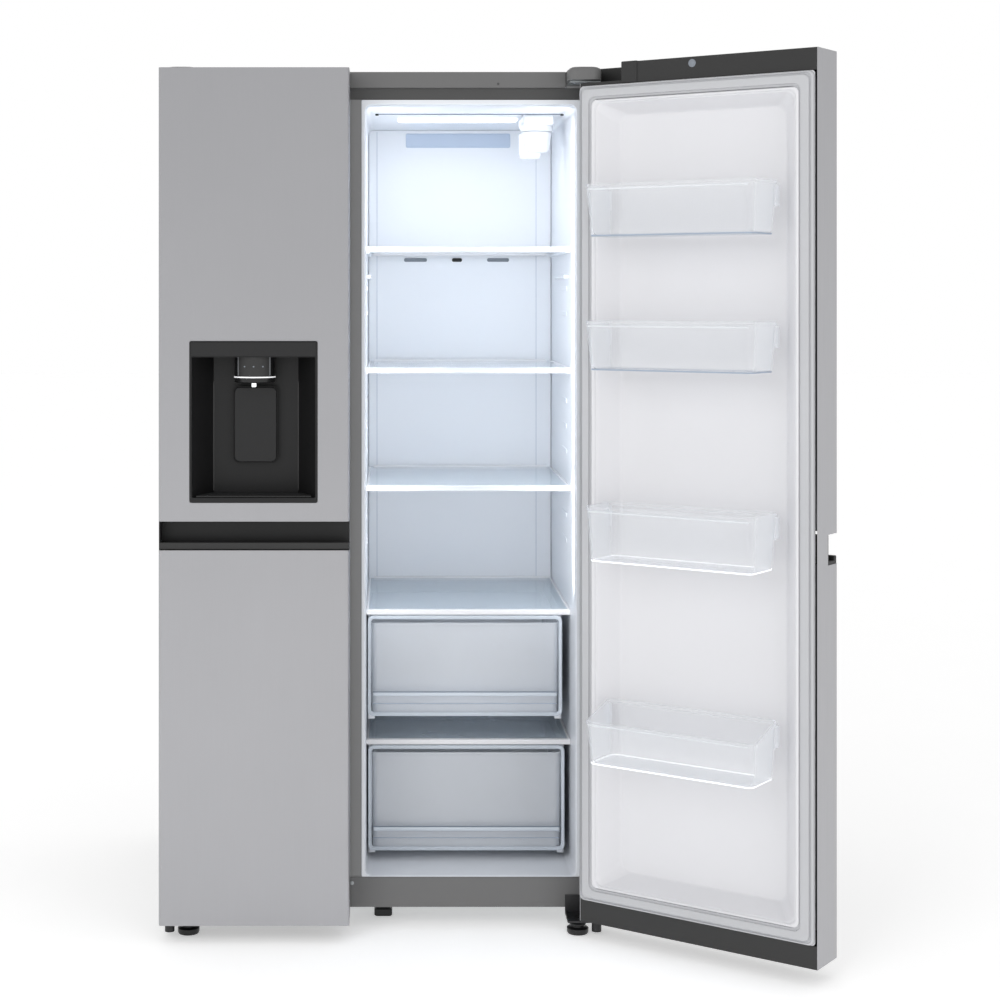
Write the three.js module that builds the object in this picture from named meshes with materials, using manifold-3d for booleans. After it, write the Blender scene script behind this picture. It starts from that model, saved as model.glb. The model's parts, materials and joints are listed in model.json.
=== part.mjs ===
// Side by side refrigerator: cabinet, two doors on corner hinges, shelves, drawers, door bins,
// dispenser and cooling parts. Millimetres, +X right, +Y to the back, +Z up.
// Shapes are drawn with Y = 0 at the cabinet's front face and Z = 0 on the floor. The finished
// object is then moved forward so that its origin is the middle of the centre foot's sole.
import * as THREE from 'three';
import { mergeVertices } from 'three/addons/utils/BufferGeometryUtils.js';
import Module from 'manifold-3d';

const wasm = await Module();
wasm.setup();

// ---- Driving dimensions ----
const GAP = 0.3;                  // clearance between pieces that touch
const HALF_WIDTH = 455.5;         // half the width over the doors
const CASE_HALF = 453;            // half the width of the cabinet
const CASE_TOP = 1776;
const CASE_DEPTH = 745;
const SHEET = 1.5;                // sheet steel of the cabinet
const CASE_FOOT = 42;             // lowest edge of the cabinet sides
const BASE_TOP = 104.5;           // top of the base cover

const DOOR_BACK = -12;            // inner plane of a closed door
const DOOR_THICK = 95.6;
const DOOR_FRONT = DOOR_BACK - DOOR_THICK;
const DOOR_LOW = 36.2;
const FREEZER_DOOR_HIGH = 1777;
const FRIDGE_DOOR_HIGH = 1785;    // the fridge door's top is a little higher than the freezer door's
const FRIDGE_DOOR_WIDTH = 517.3;
const FREEZER_DOOR_WIDTH = 387;
const DOOR_SKIN = 1.2;
const CAP_TOP_LOW = 1742;         // underside of a door's top cap
const CAP_BOTTOM_HIGH = 80.5;     // top of a door's bottom cap
const DOOR_OPEN_DEG = 144.4;      // the fridge door rests this far open
const PIVOT_X = 438.7;            // hinge pin, left and right of the middle
const PIVOT_Y = -50.8;
const PIN_RADIUS = 6;

const GRIP_HIGH = 856;            // pocket handle across each door
const GRIP_LIP_TOP = 812.4;
const GRIP_LOW = 797.4;
const GRIP_DEPTH = 47;
const WALL = 3;                   // moulded plastic walls

const LINER_LOW = 108;
const LINER_HIGH = 1709;
const LINER_DEPTH = 655;
const STEP_Y = 452;               // the liner floor steps up behind this, over the machine room
const STEP_Z = 345;
const FRIDGE_ROOM = [-36, 400];   // left and right inner walls
const FREEZER_ROOM = [-400, -94];
const FLANGE = 9.3;               // liner flange around its opening
const DUCT_FACE = 602;            // front of the duct covers on the back walls
const SHELF_FRONT = 110;

const SHELF_TOPS = { glass_shelf_top: 1419, glass_shelf_middle: 1160, glass_shelf_bottom: 908 };
const COVER_TOPS = { crisper_cover_upper: 643, crisper_cover_lower: 366 };
const FREEZER_SHELF_TOPS = { freezer_shelf_upper: 1230, freezer_shelf_lower: 830 };
const CRISPERS = {
  crisper_upper: { low: 416, high: 630, left: -33, right: 382, back: 560 },
  crisper_lower: { low: 129, high: 353, left: -32, right: 387, back: 436 },
};
const FREEZER_DRAWER = { low: 129, high: 430, left: -396, right: -98, back: 436 };
const FRIDGE_BINS = [[1431, 1535], [1166, 1264], [787, 897], [385, 497]];
const FREEZER_BIN = [[420, 520]];
const ROUND_SIDES = 24;
const FOOT_Y = 85;                // middle of the centre foot, behind the cabinet's front face

// ---- Shape helpers ----
const group = new THREE.Group();

function toSolid(geometry) {
  geometry.deleteAttribute('normal');
  geometry.deleteAttribute('uv');
  const merged = mergeVertices(geometry, 1e-4);
  const mesh = new wasm.Mesh({
    numProp: 3,
    vertProperties: new Float32Array(merged.attributes.position.array),
    triVerts: new Uint32Array(merged.index.array),
  });
  return new wasm.Manifold(mesh);
}

function toGeometry(solid) {
  const mesh = solid.getMesh();
  const geometry = new THREE.BufferGeometry();
  geometry.setAttribute('position', new THREE.BufferAttribute(mesh.vertProperties, 3));
  geometry.setIndex(new THREE.BufferAttribute(mesh.triVerts, 1));
  geometry.computeVertexNormals();
  return geometry;
}

function block(x0, x1, y0, y1, z0, z1) {
  const box = new THREE.BoxGeometry(x1 - x0, y1 - y0, z1 - z0);
  box.translate((x0 + x1) / 2, (y0 + y1) / 2, (z0 + z1) / 2);
  return toSolid(box);
}

function outlineShape(points) {
  return new THREE.Shape(points.map(([a, b]) => new THREE.Vector2(a, b)));
}

// Outline in Y and Z, carried along X from x0 to x1.
function beam(points, x0, x1) {
  const solid = new THREE.ExtrudeGeometry(outlineShape(points), { depth: x1 - x0, bevelEnabled: false });
  solid.applyMatrix4(new THREE.Matrix4().set(0, 0, 1, x0, 1, 0, 0, 0, 0, 1, 0, 0, 0, 0, 0, 1));
  return toSolid(solid);
}

function rod(x, y, z0, z1, radius, sides = ROUND_SIDES) {
  const cylinder = new THREE.CylinderGeometry(radius, radius, z1 - z0, sides);
  cylinder.rotateX(Math.PI / 2);
  cylinder.translate(x, y, (z0 + z1) / 2);
  return toSolid(cylinder);
}

function rodAlongX(x0, x1, y, z, radius, sides = ROUND_SIDES) {
  const cylinder = new THREE.CylinderGeometry(radius, radius, x1 - x0, sides);
  cylinder.rotateZ(Math.PI / 2);
  cylinder.translate((x0 + x1) / 2, y, z);
  return toSolid(cylinder);
}

// A pocket whose back, at y1, is smaller than its mouth, at y0, by the given insets.
function taperedPocket([x0, x1], [z0, z1], y0, y1, insetX, insetZ) {
  const box = new THREE.BoxGeometry(x1 - x0, 1, z1 - z0);
  box.translate((x0 + x1) / 2, 0.5, (z0 + z1) / 2);
  const place = box.attributes.position;
  const middleX = (x0 + x1) / 2;
  const middleZ = (z0 + z1) / 2;
  for (let i = 0; i < place.count; i += 1) {
    const atBack = place.getY(i) > 0.5;
    if (atBack) {
      place.setX(i, place.getX(i) - Math.sign(place.getX(i) - middleX) * insetX);
      place.setZ(i, place.getZ(i) - Math.sign(place.getZ(i) - middleZ) * insetZ);
    }
    place.setY(i, atBack ? y1 : y0);
  }
  if (y1 < y0) {
    box.setIndex([...box.index.array].reverse());
  }
  return toSolid(box);
}

function join(first, ...others) {
  return others.reduce((whole, part) => whole.add(part), first);
}

function cut(first, ...others) {
  return others.reduce((whole, part) => whole.subtract(part), first);
}

// ---- Finishes ----
function finish(color, roughness, metalness = 0, opacity = 1) {
  return () => new THREE.MeshStandardMaterial({
    color, roughness, metalness, opacity, transparent: opacity < 1,
  });
}

const steel = finish(0xa9a9ac, 0.38, 0.85);
const paint = finish(0x6c6c6c, 0.5, 0.3);
const backPaint = finish(0x8b8d8f, 0.55, 0.6);
const galvanised = finish(0xa5a9ab, 0.45, 0.9);
const white = finish(0xe9ecef, 0.35);
const foam = finish(0xe6ddb8, 0.95);
const black = finish(0x17181a, 0.45);
const darkGrey = finish(0x3b3b3a, 0.5);
const rubber = finish(0xb7b9bc, 0.75);
const glass = finish(0xdcecf2, 0.05, 0, 0.35);
const clearPlastic = finish(0xe4edf3, 0.12, 0, 0.4);
const chrome = finish(0xcfd2d4, 0.18, 1);
const lamp = finish(0xf8fbff, 0.3);

function place(name, solid, material, parent = group) {
  const mesh = new THREE.Mesh(toGeometry(solid), material());
  mesh.name = name;
  parent.add(mesh);
}

// Both sides of the cabinet carry the same hardware: side is 1 on the right and -1 on the left.
function forBothSides(make) {
  make('left', -1);
  make('right', 1);
}

function sideBlock(side, x0, x1, y0, y1, z0, z1) {
  return side > 0 ? block(x0, x1, y0, y1, z0, z1) : block(-x1, -x0, y0, y1, z0, z1);
}

// ---- Cabinet shell ----
const FRAME_DEPTH = 6;            // thickness of the front flange
const FRAME_LOW = 62;
const MACHINE_Y = 500;            // front of the machine room
const MACHINE_TOP = 290;
const TRAY_Z = 46;                // top of the tray that carries the compressor
const ROLLER_X = 380;
const ROLLER_Y = 690;
const ROLLER_RADIUS = 20;
const ROLLER_PIN = 4;
const inside = CASE_HALF - SHEET - GAP;

function makeWrap() {
  const outer = block(-CASE_HALF, CASE_HALF, 0, CASE_DEPTH, CASE_FOOT, CASE_TOP);
  const hollow = block(
    -CASE_HALF + SHEET, CASE_HALF - SHEET, -1, CASE_DEPTH + 1, CASE_FOOT - 1, CASE_TOP - SHEET,
  );
  place('cabinet_wrap', cut(outer, hollow), paint);
}

// The inner space of a room, with its floor stepped over the machine room, grown by an amount.
function roomSolid([left, right], grow, y0) {
  const points = [
    [y0, LINER_LOW - grow], [STEP_Y + grow, LINER_LOW - grow], [STEP_Y + grow, STEP_Z - grow],
    [LINER_DEPTH + grow, STEP_Z - grow], [LINER_DEPTH + grow, LINER_HIGH + grow], [y0, LINER_HIGH + grow],
  ];
  return beam(points, left - grow, right + grow);
}

function makeFrontFrame() {
  const plate = block(-inside, inside, 0, FRAME_DEPTH, FRAME_LOW, CASE_TOP - SHEET - GAP);
  const openings = [FRIDGE_ROOM, FREEZER_ROOM].map((room) => roomSolid(room, WALL + GAP, -1));
  place('front_frame', cut(plate, ...openings), paint);
}

function makeFoam() {
  const backFace = CASE_DEPTH - SHEET - 2 * GAP;
  const top = CASE_TOP - SHEET - GAP;
  const points = [
    [FRAME_DEPTH + GAP, FRAME_LOW], [MACHINE_Y - 4, FRAME_LOW], [MACHINE_Y - 4, MACHINE_TOP + 4],
    [backFace, MACHINE_TOP + 4], [backFace, top], [FRAME_DEPTH + GAP, top],
  ];
  const rooms = [FRIDGE_ROOM, FREEZER_ROOM].map((room) => roomSolid(room, WALL + GAP, 0));
  place('cabinet_foam', cut(beam(points, -inside, inside), ...rooms), foam);
}

function makeLiner(name, room, ledges) {
  const [left, right] = room;
  const flange = block(
    left - FLANGE, right + FLANGE, -1.5, -GAP, LINER_LOW - 3.2, LINER_HIGH + 12.3,
  );
  const tub = join(roomSolid(room, WALL, -1), flange);
  const shelves = ledges.flatMap(([z0, z1, y1, width]) => [
    block(left - 1, left + width, SHELF_FRONT + 15, y1, z0, z1),
    block(right - width, right + 1, SHELF_FRONT + 15, y1, z0, z1),
  ]);
  place(name, join(cut(tub, roomSolid(room, 0, -3)), ...shelves), white);
}

// Ledges under a shelf or a cover, and runners under the freezer drawer: [low, high, back end, width].
const LEDGE_BACK = 590;
const shelfLedge = (top) => [top - 13, top - 6.3, LEDGE_BACK, 7];
const coverLedge = (top, back) => [top - 13, top - 6.3, back, 3];
const floorRunner = (drawer) => [LINER_LOW - 1, drawer.low - GAP, drawer.back, 18];

function makeBack() {
  const y0 = CASE_DEPTH - SHEET;
  const panel = block(-inside, inside, y0 - GAP, CASE_DEPTH - GAP, MACHINE_TOP + 4, CASE_TOP - 2);
  place('back_panel', panel, backPaint);
}

function makeBasePan() {
  const deckHigh = FRAME_LOW - GAP;
  const deckLow = deckHigh - 2;
  const backEdge = CASE_DEPTH - 5;
  const points = [
    [FRAME_DEPTH, deckLow], [MACHINE_Y - 2, deckLow], [MACHINE_Y - 2, TRAY_Z - 2], [backEdge, TRAY_Z - 2],
    [backEdge, TRAY_Z], [MACHINE_Y, TRAY_Z], [MACHINE_Y, MACHINE_TOP], [backEdge, MACHINE_TOP],
    [backEdge, MACHINE_TOP + 2], [MACHINE_Y - 2, MACHINE_TOP + 2], [MACHINE_Y - 2, deckHigh],
    [FRAME_DEPTH, deckHigh],
  ];
  const ears = [-1, 1].flatMap((side) => [ROLLER_X - 21, ROLLER_X + 18].map(
    (x) => sideBlock(side, x, x + 3, ROLLER_Y - 14, ROLLER_Y + 14, ROLLER_RADIUS - 9, TRAY_Z - 1),
  ));
  const axles = rodAlongX(-CASE_HALF, CASE_HALF, ROLLER_Y, ROLLER_RADIUS, ROLLER_PIN + 0.6, 16);
  const pan = join(beam(points, -inside, inside), ...ears);
  place('base_pan', cut(pan, axles), galvanised);
}

function makeRollers() {
  forBothSides((word, side) => {
    const x = side * ROLLER_X;
    const wheel = rodAlongX(x - 14, x + 14, ROLLER_Y, ROLLER_RADIUS, ROLLER_RADIUS);
    const pin = rodAlongX(x - 20.5, x + 20.5, ROLLER_Y, ROLLER_RADIUS, ROLLER_PIN, 16);
    place(`rear_roller_${word}`, join(wheel, pin), black);
  });
}

function makeBaseCover() {
  const points = [
    [-2, CASE_FOOT], [40, CASE_FOOT], [40, CASE_FOOT + 2], [-GAP, CASE_FOOT + 2],
    [-GAP, BASE_TOP - GAP], [-2, BASE_TOP - GAP],
  ];
  place('base_cover', beam(points, -inside, inside), paint);
}

// ---- Hinges, top cover and feet ----
const PLATE_LOW = 1751;
const PLATE_HIGH = 1755;
const HINGE_FROM = 383;
const HINGE_TO = 446;
const UPSTAND_HIGH = 1772;        // the top hinge's plate turns up against the cabinet to here
const TOP_PIN_LOW = 1733;
const FOOT_PLATE = { from: 378, to: 448, front: -66, back: -2.4, low: 29, high: 33, backHigh: 68 };
const BOSS_LOW = 8;               // the bottom hinge pin's lower end
const BOTTOM_PIN_HIGH = 62;
const COVER_LOW = 1746;
const COVER_HIGH = 1782;
const LEG_X = 401;
const LEG_Y = -38;
const LEG_RADIUS = 22.5;
const LEG_SCREW = 6;

function makeTopCover() {
  const trim = beam([
    [-6, COVER_LOW], [-GAP, COVER_LOW], [-GAP, CASE_TOP + GAP], [45, CASE_TOP + GAP],
    [45, CASE_TOP + 3], [-6, CASE_TOP + 3],
  ], -CASE_HALF, CASE_HALF);
  const lumpOutline = [
    [-80, PLATE_HIGH + GAP], [-GAP, PLATE_HIGH + GAP], [-GAP, CASE_TOP + GAP], [45, CASE_TOP + GAP],
    [45, CASE_TOP + 3], [30, COVER_HIGH], [-66, COVER_HIGH], [-75, COVER_HIGH - 3], [-80, COVER_HIGH - 9],
  ];
  const lumps = [-1, 1].map((side) => (side > 0
    ? beam(lumpOutline, HINGE_FROM - 3, HINGE_TO + 1)
    : beam(lumpOutline, -HINGE_TO - 1, -HINGE_FROM + 3)));
  const pockets = [-1, 1].flatMap((side) => [
    sideBlock(side, HINGE_FROM - 0.5, HINGE_TO + 0.5, -3.5, 1, COVER_LOW - 1, UPSTAND_HIGH + 1),
    sideBlock(side, HINGE_FROM - 0.5, HINGE_TO + 0.5, -7, -3, COVER_LOW - 1, PLATE_HIGH + GAP),
    sideBlock(side, HINGE_TO + 1, CASE_HALF + 1, -7, 0, COVER_LOW - 1, CASE_TOP + 4),
  ]);
  place('top_cover', cut(join(trim, ...lumps), ...pockets), paint);
}

function makeHinges() {
  forBothSides((word, side) => {
    const pinX = side * PIVOT_X;
    const topPlate = sideBlock(side, HINGE_FROM, HINGE_TO, -62, -0.4, PLATE_LOW, PLATE_HIGH);
    const upstand = sideBlock(side, HINGE_FROM, HINGE_TO, -3, -0.4, PLATE_LOW, UPSTAND_HIGH);
    const topPin = rod(pinX, PIVOT_Y, TOP_PIN_LOW, PLATE_LOW + 1, PIN_RADIUS);
    place(`top_hinge_${word}`, join(topPlate, upstand, topPin), galvanised);

    const { from, to, front, back: y1, low, high, backHigh } = FOOT_PLATE;
    const plate = sideBlock(side, from, to, front, y1, low, high);
    const back = sideBlock(side, from, to - 8, y1 - 2, y1, low, backHigh);
    const gusset = sideBlock(side, from, from + 3, front + 20, y1, low, high + 2.5);
    const boss = rod(pinX, PIVOT_Y, BOSS_LOW, low + 1, 10);
    const collar = rod(pinX, PIVOT_Y, high - 1, high + 3, 9.5);
    const pin = rod(pinX, PIVOT_Y, high - 1, BOTTOM_PIN_HIGH, PIN_RADIUS);
    const screwHole = rod(side * LEG_X, LEG_Y, low - 9, high + 7, LEG_SCREW + 0.6);
    const bracket = cut(join(plate, back, gusset, boss, collar, pin), screwHole);
    place(`bottom_hinge_${word}`, bracket, black);
  });
}

function makeFeet() {
  forBothSides((word, side) => {
    const sole = rod(side * LEG_X, LEG_Y, 0, 22, LEG_RADIUS);
    const screw = rod(side * LEG_X, LEG_Y, 21, 35, LEG_SCREW);
    place(`levelling_leg_${word}`, join(sole, screw), black);
  });
  place('centre_foot', block(-20, 20, FOOT_Y - 15, FOOT_Y + 15, 0, FRAME_LOW - 2.3 - GAP), black);
}

// ---- Machine room ----
const COMPRESSOR = { x: 270, y: 620, radius: 82, domeRadius: 66, mountStep: 80, mountRadius: 12 };
const COIL = [-400, -130];        // condenser, left and right ends
const FAN = { x: -65, y: 620, z: 150, hubRadius: 24, hubHalf: 15, blades: 5, pitch: 0.5 };

function makeCompressor() {
  const { x, y, radius, domeRadius, mountStep, mountRadius } = COMPRESSOR;
  const plateLow = TRAY_Z + 20;
  const plateHigh = TRAY_Z + 24;
  const half = mountStep + mountRadius;
  const shell = rod(x, y, plateHigh - 2, TRAY_Z + 170, radius, 32);
  const dome = rod(x, y, TRAY_Z + 169, TRAY_Z + 192, domeRadius, 32);
  const plate = block(x - half, x + half, y - half, y + half, plateLow, plateHigh);
  const mounts = [[-1, -1], [-1, 1], [1, -1], [1, 1]].map(
    ([a, b]) => rod(x + a * mountStep, y + b * mountStep, TRAY_Z + GAP, plateHigh, mountRadius, 12),
  );
  place('compressor', join(shell, dome, plate, ...mounts), black);
}

function makeCondenser() {
  const [left, right] = COIL;
  const coil = block(left, right, 540, 700, TRAY_Z + 30, 250);
  const legs = [left + 10, right - 20].map((x) => block(x, x + 10, 560, 680, TRAY_Z + GAP, TRAY_Z + 31));
  place('condenser', join(coil, ...legs), darkGrey);
}

function makeCondenserFan() {
  const { x, y, z, hubRadius, hubHalf, blades, pitch } = FAN;
  const hub = rodAlongX(x - hubHalf, x + hubHalf, y, z, hubRadius);
  const fanBlades = Array.from({ length: blades }, (_, i) => {
    const blade = new THREE.BoxGeometry(5, 36, 56);
    blade.rotateZ(pitch);
    blade.translate(x, 0, 2 * hubRadius);
    blade.rotateX((i * 2 * Math.PI) / blades);
    blade.translate(0, y, z);
    return toSolid(blade);
  });
  const shaft = rodAlongX(COIL[1] + 6, x + hubHalf, y, z, 5, 12);
  place('condenser_fan', join(hub, shaft, ...fanBlades), darkGrey);
}

const LOUVRES = 9;
const LOUVRE_LOW = 90;
const LOUVRE_STEP = 18;
const LOUVRE_HEIGHT = 7;
const GLAND = { x: 72, z: 238, half: 12, hole: 4 };

function makeRearCover() {
  const low = CASE_FOOT;
  const sheet = block(-inside, inside, CASE_DEPTH - 3, CASE_DEPTH - GAP, low, MACHINE_TOP + 3.4);
  const slots = [];
  for (let i = 0; i < LOUVRES; i += 1) {
    const z = LOUVRE_LOW + i * LOUVRE_STEP;
    [COIL, [COMPRESSOR.x - 80, COMPRESSOR.x + 80]].forEach(([x0, x1]) => {
      slots.push(block(x0, x1, CASE_DEPTH - 5, CASE_DEPTH + 1, z, z + LOUVRE_HEIGHT));
    });
  }
  const { x, z, half, hole } = GLAND;
  const gland = block(x - half, x + half, CASE_DEPTH - 1, CASE_DEPTH + 4, z - half, z + half);
  const glandHole = block(x - hole, x + hole, CASE_DEPTH - 5, CASE_DEPTH + 5, z - hole, z + hole);
  place('rear_cover', cut(join(sheet, gland), ...slots, glandHole), backPaint);
}

// ---- Inside the two rooms ----
// A duct cover spans its room's back wall above the step, and each window is [left, right, low, high].
const COOL_AIR_IN = [53, 302, 1667, 1701];
const FRIDGE_VENTS = [[48.6, 103.5], [163, 187], [246.7, 299.2]].map(([x0, x1]) => [x0, x1, 1395, 1404]);
const FREEZER_VENTS = [[-330, -164, 1600, 1640], [-330, -164, 1180, 1200], [-330, -164, 360, 400]];
const EVAPORATOR = { left: -378, right: -116, front: 612, back: 652, low: 520, high: 900, headerHigh: 930 };

function makeDuctCover(name, room, windows) {
  const [x0, x1] = [room[0] + 1, room[1] - 1];
  const low = STEP_Z + GAP;
  const high = LINER_HIGH - GAP;
  const shell = block(x0, x1, DUCT_FACE, LINER_DEPTH - GAP, low, high);
  const hollow = block(x0 + WALL, x1 - WALL, DUCT_FACE + WALL, LINER_DEPTH + 1, low + WALL, high - WALL);
  const openings = windows.map(([a, b, z0, z1]) => block(a, b, DUCT_FACE - 1, DUCT_FACE + 8, z0, z1));
  place(name, cut(shell, hollow, ...openings), white);
}

function makeColdParts() {
  makeDuctCover('fridge_duct_cover', FRIDGE_ROOM, [COOL_AIR_IN, ...FRIDGE_VENTS]);
  makeDuctCover('freezer_duct_cover', FREEZER_ROOM, FREEZER_VENTS);
  const { left, right, front, back, low, high, headerHigh } = EVAPORATOR;
  const fins = block(left, right, front, back, low, high);
  const header = block(left, right, front + 6, back - 12, high - 1, headerHigh);
  place('evaporator', join(fins, header), chrome);
}

const FILTER = { x: 338, y: 250, radius: 33, top: LINER_HIGH - 34, low: LINER_HIGH - 72 };
const FILTER_HANDLE = { halfLength: 30, halfWidth: 7, low: LINER_HIGH - 94 };
const HEAD_PLATE = { half: 34, front: 190, back: 330, low: LINER_HIGH - 22 };
const LIGHT = { left: 32, right: 300, front: 285, back: 362, depth: 4 };

function makeCeiling() {
  const { left, right, front, back, depth } = LIGHT;
  const light = block(left, right, front, back, LINER_HIGH - depth, LINER_HIGH - GAP);
  place('ceiling_light', light, lamp);
  const { x, y, radius, top, low } = FILTER;
  const { halfLength, halfWidth } = FILTER_HANDLE;
  const plate = HEAD_PLATE;
  place('filter_head', join(
    block(x - plate.half, x + plate.half, plate.front, plate.back, plate.low, LINER_HIGH - GAP),
    rod(x, y, top, plate.low + 1, radius + WALL),
  ), white);
  place('water_filter', join(
    rod(x, y, low, top - 0.4, radius),
    block(x - halfLength, x + halfLength, y - halfWidth, y + halfWidth, FILTER_HANDLE.low, low + 1),
  ), white);
}

function shelfSolid([left, right], top, back) {
  const pane = block(left + 0.4, right - 0.4, SHELF_FRONT + 8, back, top - 6, top - 1);
  const frontTrim = block(left + 0.4, right - 0.4, SHELF_FRONT, SHELF_FRONT + 10, top - 12, top);
  const backTrim = block(left + 12, right - 12, back - 8, back, top - 10, top + 3);
  return join(pane, frontTrim, backTrim);
}

const TUB_INSET = 4;              // a drawer's tub is narrower than its face by this on each side
const PLATE = 3.2;                // side plate that carries a crisper
const PLATE_CLEAR = 0.4;          // between a side plate and the tub
const RUNNER_REACH = 11;          // a runner reaches this far under the tub
const RUNNER_HEIGHT = 9;

// A crisper hangs from its cover: on each side a plate reaches down to a runner under the tub.
function crisperCover(room, top, back, drawer) {
  const runnerTop = drawer.low - GAP;
  const runnerLow = runnerTop - RUNNER_HEIGHT;
  const tubWalls = [[drawer.left + TUB_INSET, 1], [drawer.right - TUB_INSET, -1]];
  const carriers = tubWalls.flatMap(([wall, inward]) => {
    const near = wall - inward * PLATE_CLEAR;
    const far = near - inward * PLATE;
    const under = wall + inward * RUNNER_REACH;
    const between = (a, b, z1) => block(
      Math.min(a, b), Math.max(a, b), SHELF_FRONT + 16, drawer.back - 4, runnerLow, z1,
    );
    return [between(far, near, top - 5), between(far, under, runnerTop)];
  });
  return join(shelfSolid(room, top, back), ...carriers);
}

// An open-topped tub whose front is higher, with a grip rail along it.
function makeDrawer(name, spec, material) {
  const { low, high, left, right, back } = spec;
  const front = SHELF_FRONT;
  const tub = block(left + TUB_INSET, right - TUB_INSET, front + 4, back, low, high - 16);
  const face = block(left, right, front - 2, front + 6, low, high);
  const room = block(left + 7, right - 7, front + 6, back - WALL, low + WALL, high + 1);
  const grip = block(left + 12, right - 12, front - 10, front - 1, low + 44, low + 52);
  place(name, join(cut(join(tub, face), room), grip), material);
}

const ICE_MAKER = { left: -392, right: -106, front: 25, back: 190, low: 1586, high: 1690 };

function makeIceMaker() {
  const { left, right, front, back, low, high } = ICE_MAKER;
  const tray = block(left, right, front, back, low, high);
  const drop = block(left + 20, right - 20, front + 10, back - 40, low - 6, low + 54);
  const bracket = block(left + 62, right - 64, front + 35, back - 10, high - 1, LINER_HIGH - GAP);
  place('ice_maker', join(cut(tray, drop), bracket), white);
}

function makeRooms() {
  const glassTops = Object.entries(SHELF_TOPS);
  const freezerTops = Object.entries(FREEZER_SHELF_TOPS);
  makeLiner('fridge_liner', FRIDGE_ROOM, [
    ...glassTops.map(([, top]) => shelfLedge(top)),
    coverLedge(COVER_TOPS.crisper_cover_upper, LEDGE_BACK),
    coverLedge(COVER_TOPS.crisper_cover_lower, STEP_Y - 7),
  ]);
  makeLiner('freezer_liner', FREEZER_ROOM, [
    ...freezerTops.map(([, top]) => shelfLedge(top)), floorRunner(FREEZER_DRAWER),
  ]);
  const shelfBack = DUCT_FACE - 4;
  glassTops.forEach(([name, top]) => place(name, shelfSolid(FRIDGE_ROOM, top, shelfBack), glass));
  freezerTops.forEach(([name, top]) => place(name, shelfSolid(FREEZER_ROOM, top, shelfBack), glass));
  [['upper', shelfBack], ['lower', STEP_Y - 4]].forEach(([level, back]) => {
    const name = `crisper_cover_${level}`;
    place(name, crisperCover(FRIDGE_ROOM, COVER_TOPS[name], back, CRISPERS[`crisper_${level}`]), glass);
  });
  Object.entries(CRISPERS).forEach(([name, spec]) => makeDrawer(name, spec, clearPlastic));
  makeDrawer('freezer_drawer', FREEZER_DRAWER, clearPlastic);
  makeIceMaker();
}

// ---- Doors ----
// A door is made closed. hand is 1 for the right door and -1 for the left one, and u runs along
// the door from its hinge edge to its free edge.
function doorFrame(hand, width, high) {
  const x = (u) => hand * (HALF_WIDTH - u);
  const doorBlock = (u0, u1, y0, y1, z0, z1) => block(
    Math.min(x(u0), x(u1)), Math.max(x(u0), x(u1)), y0, y1, z0, z1,
  );
  const pocket = (u0, u1, zRange, y0, y1, insetX, insetZ) => taperedPocket(
    [Math.min(x(u0), x(u1)), Math.max(x(u0), x(u1))], zRange, y0, y1, insetX, insetZ,
  );
  const parent = new THREE.Group();
  return { hand, width, high, x, doorBlock, pocket, parent };
}

const NOTCH_WIDTH = 96;           // the top cap is cut away around the hinge
const NOTCH_FRONT = -92;
const NOTCH_LOW = 1748;

function makeSkin(door, name, opening) {
  const { width, high, doorBlock } = door;
  const sheet = cut(
    doorBlock(0, width, DOOR_FRONT, DOOR_BACK, DOOR_LOW, high),
    doorBlock(DOOR_SKIN, width - DOOR_SKIN, DOOR_FRONT + DOOR_SKIN, DOOR_BACK + 1,
      DOOR_LOW - 1, high + 1),
    doorBlock(-1, width + 1, DOOR_FRONT - 1, DOOR_FRONT + GRIP_DEPTH, GRIP_LOW, GRIP_HIGH),
    doorBlock(-1, NOTCH_WIDTH, NOTCH_FRONT, DOOR_BACK + 1, NOTCH_LOW, high + 1),
  );
  place(name, opening ? cut(sheet, opening) : sheet, steel, door.parent);
}

function makeCaps(door, name) {
  const { width, high, doorBlock, hand } = door;
  const edge = DOOR_SKIN + GAP;
  const front = DOOR_FRONT + edge;
  const topCap = cut(
    doorBlock(edge, width - edge, front, DOOR_BACK, CAP_TOP_LOW, high),
    doorBlock(-1, NOTCH_WIDTH, NOTCH_FRONT, DOOR_BACK + 1, NOTCH_LOW, high + 1),
    doorBlock(NOTCH_WIDTH + WALL, width - edge - WALL, front + WALL, DOOR_BACK - WALL,
      CAP_TOP_LOW - 1, high - WALL),
    rod(hand * PIVOT_X, PIVOT_Y, CAP_TOP_LOW - 1, NOTCH_LOW + 1, PIN_RADIUS + 1),
  );
  place(`${name}_cap_top`, topCap, darkGrey, door.parent);
  const bottomCap = cut(
    doorBlock(edge, width - edge, front, DOOR_BACK, DOOR_LOW, CAP_BOTTOM_HIGH),
    doorBlock(60, width - edge - WALL, front + WALL, DOOR_BACK - WALL,
      DOOR_LOW + WALL, CAP_BOTTOM_HIGH + 1),
    rod(hand * PIVOT_X, PIVOT_Y, DOOR_LOW - 1, CAP_BOTTOM_HIGH + 1, PIN_RADIUS + 1),
  );
  place(`${name}_cap_bottom`, bottomCap, darkGrey, door.parent);
}

const BORDER = 30;                // gasket width, at the hinge edge
const FREE_BORDER = 33.5;         // the same with the dark groove beside it
const PANEL_LOW = CAP_BOTTOM_HIGH + 0.5;
const PANEL_HIGH = CAP_TOP_LOW - 0.5;
const RIM_FACE = DOOR_BACK + 10;  // the liner's rim reaches this far into the cabinet
const RECESS_BACK = DOOR_BACK - 38;
const RECESS_LOW = 117;
const RECESS_HIGH = 1706;
const RECESS_TAPER_U = 49;        // the recess narrows by this much at each side towards its back
const RECESS_TAPER_Z = 33;

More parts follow.
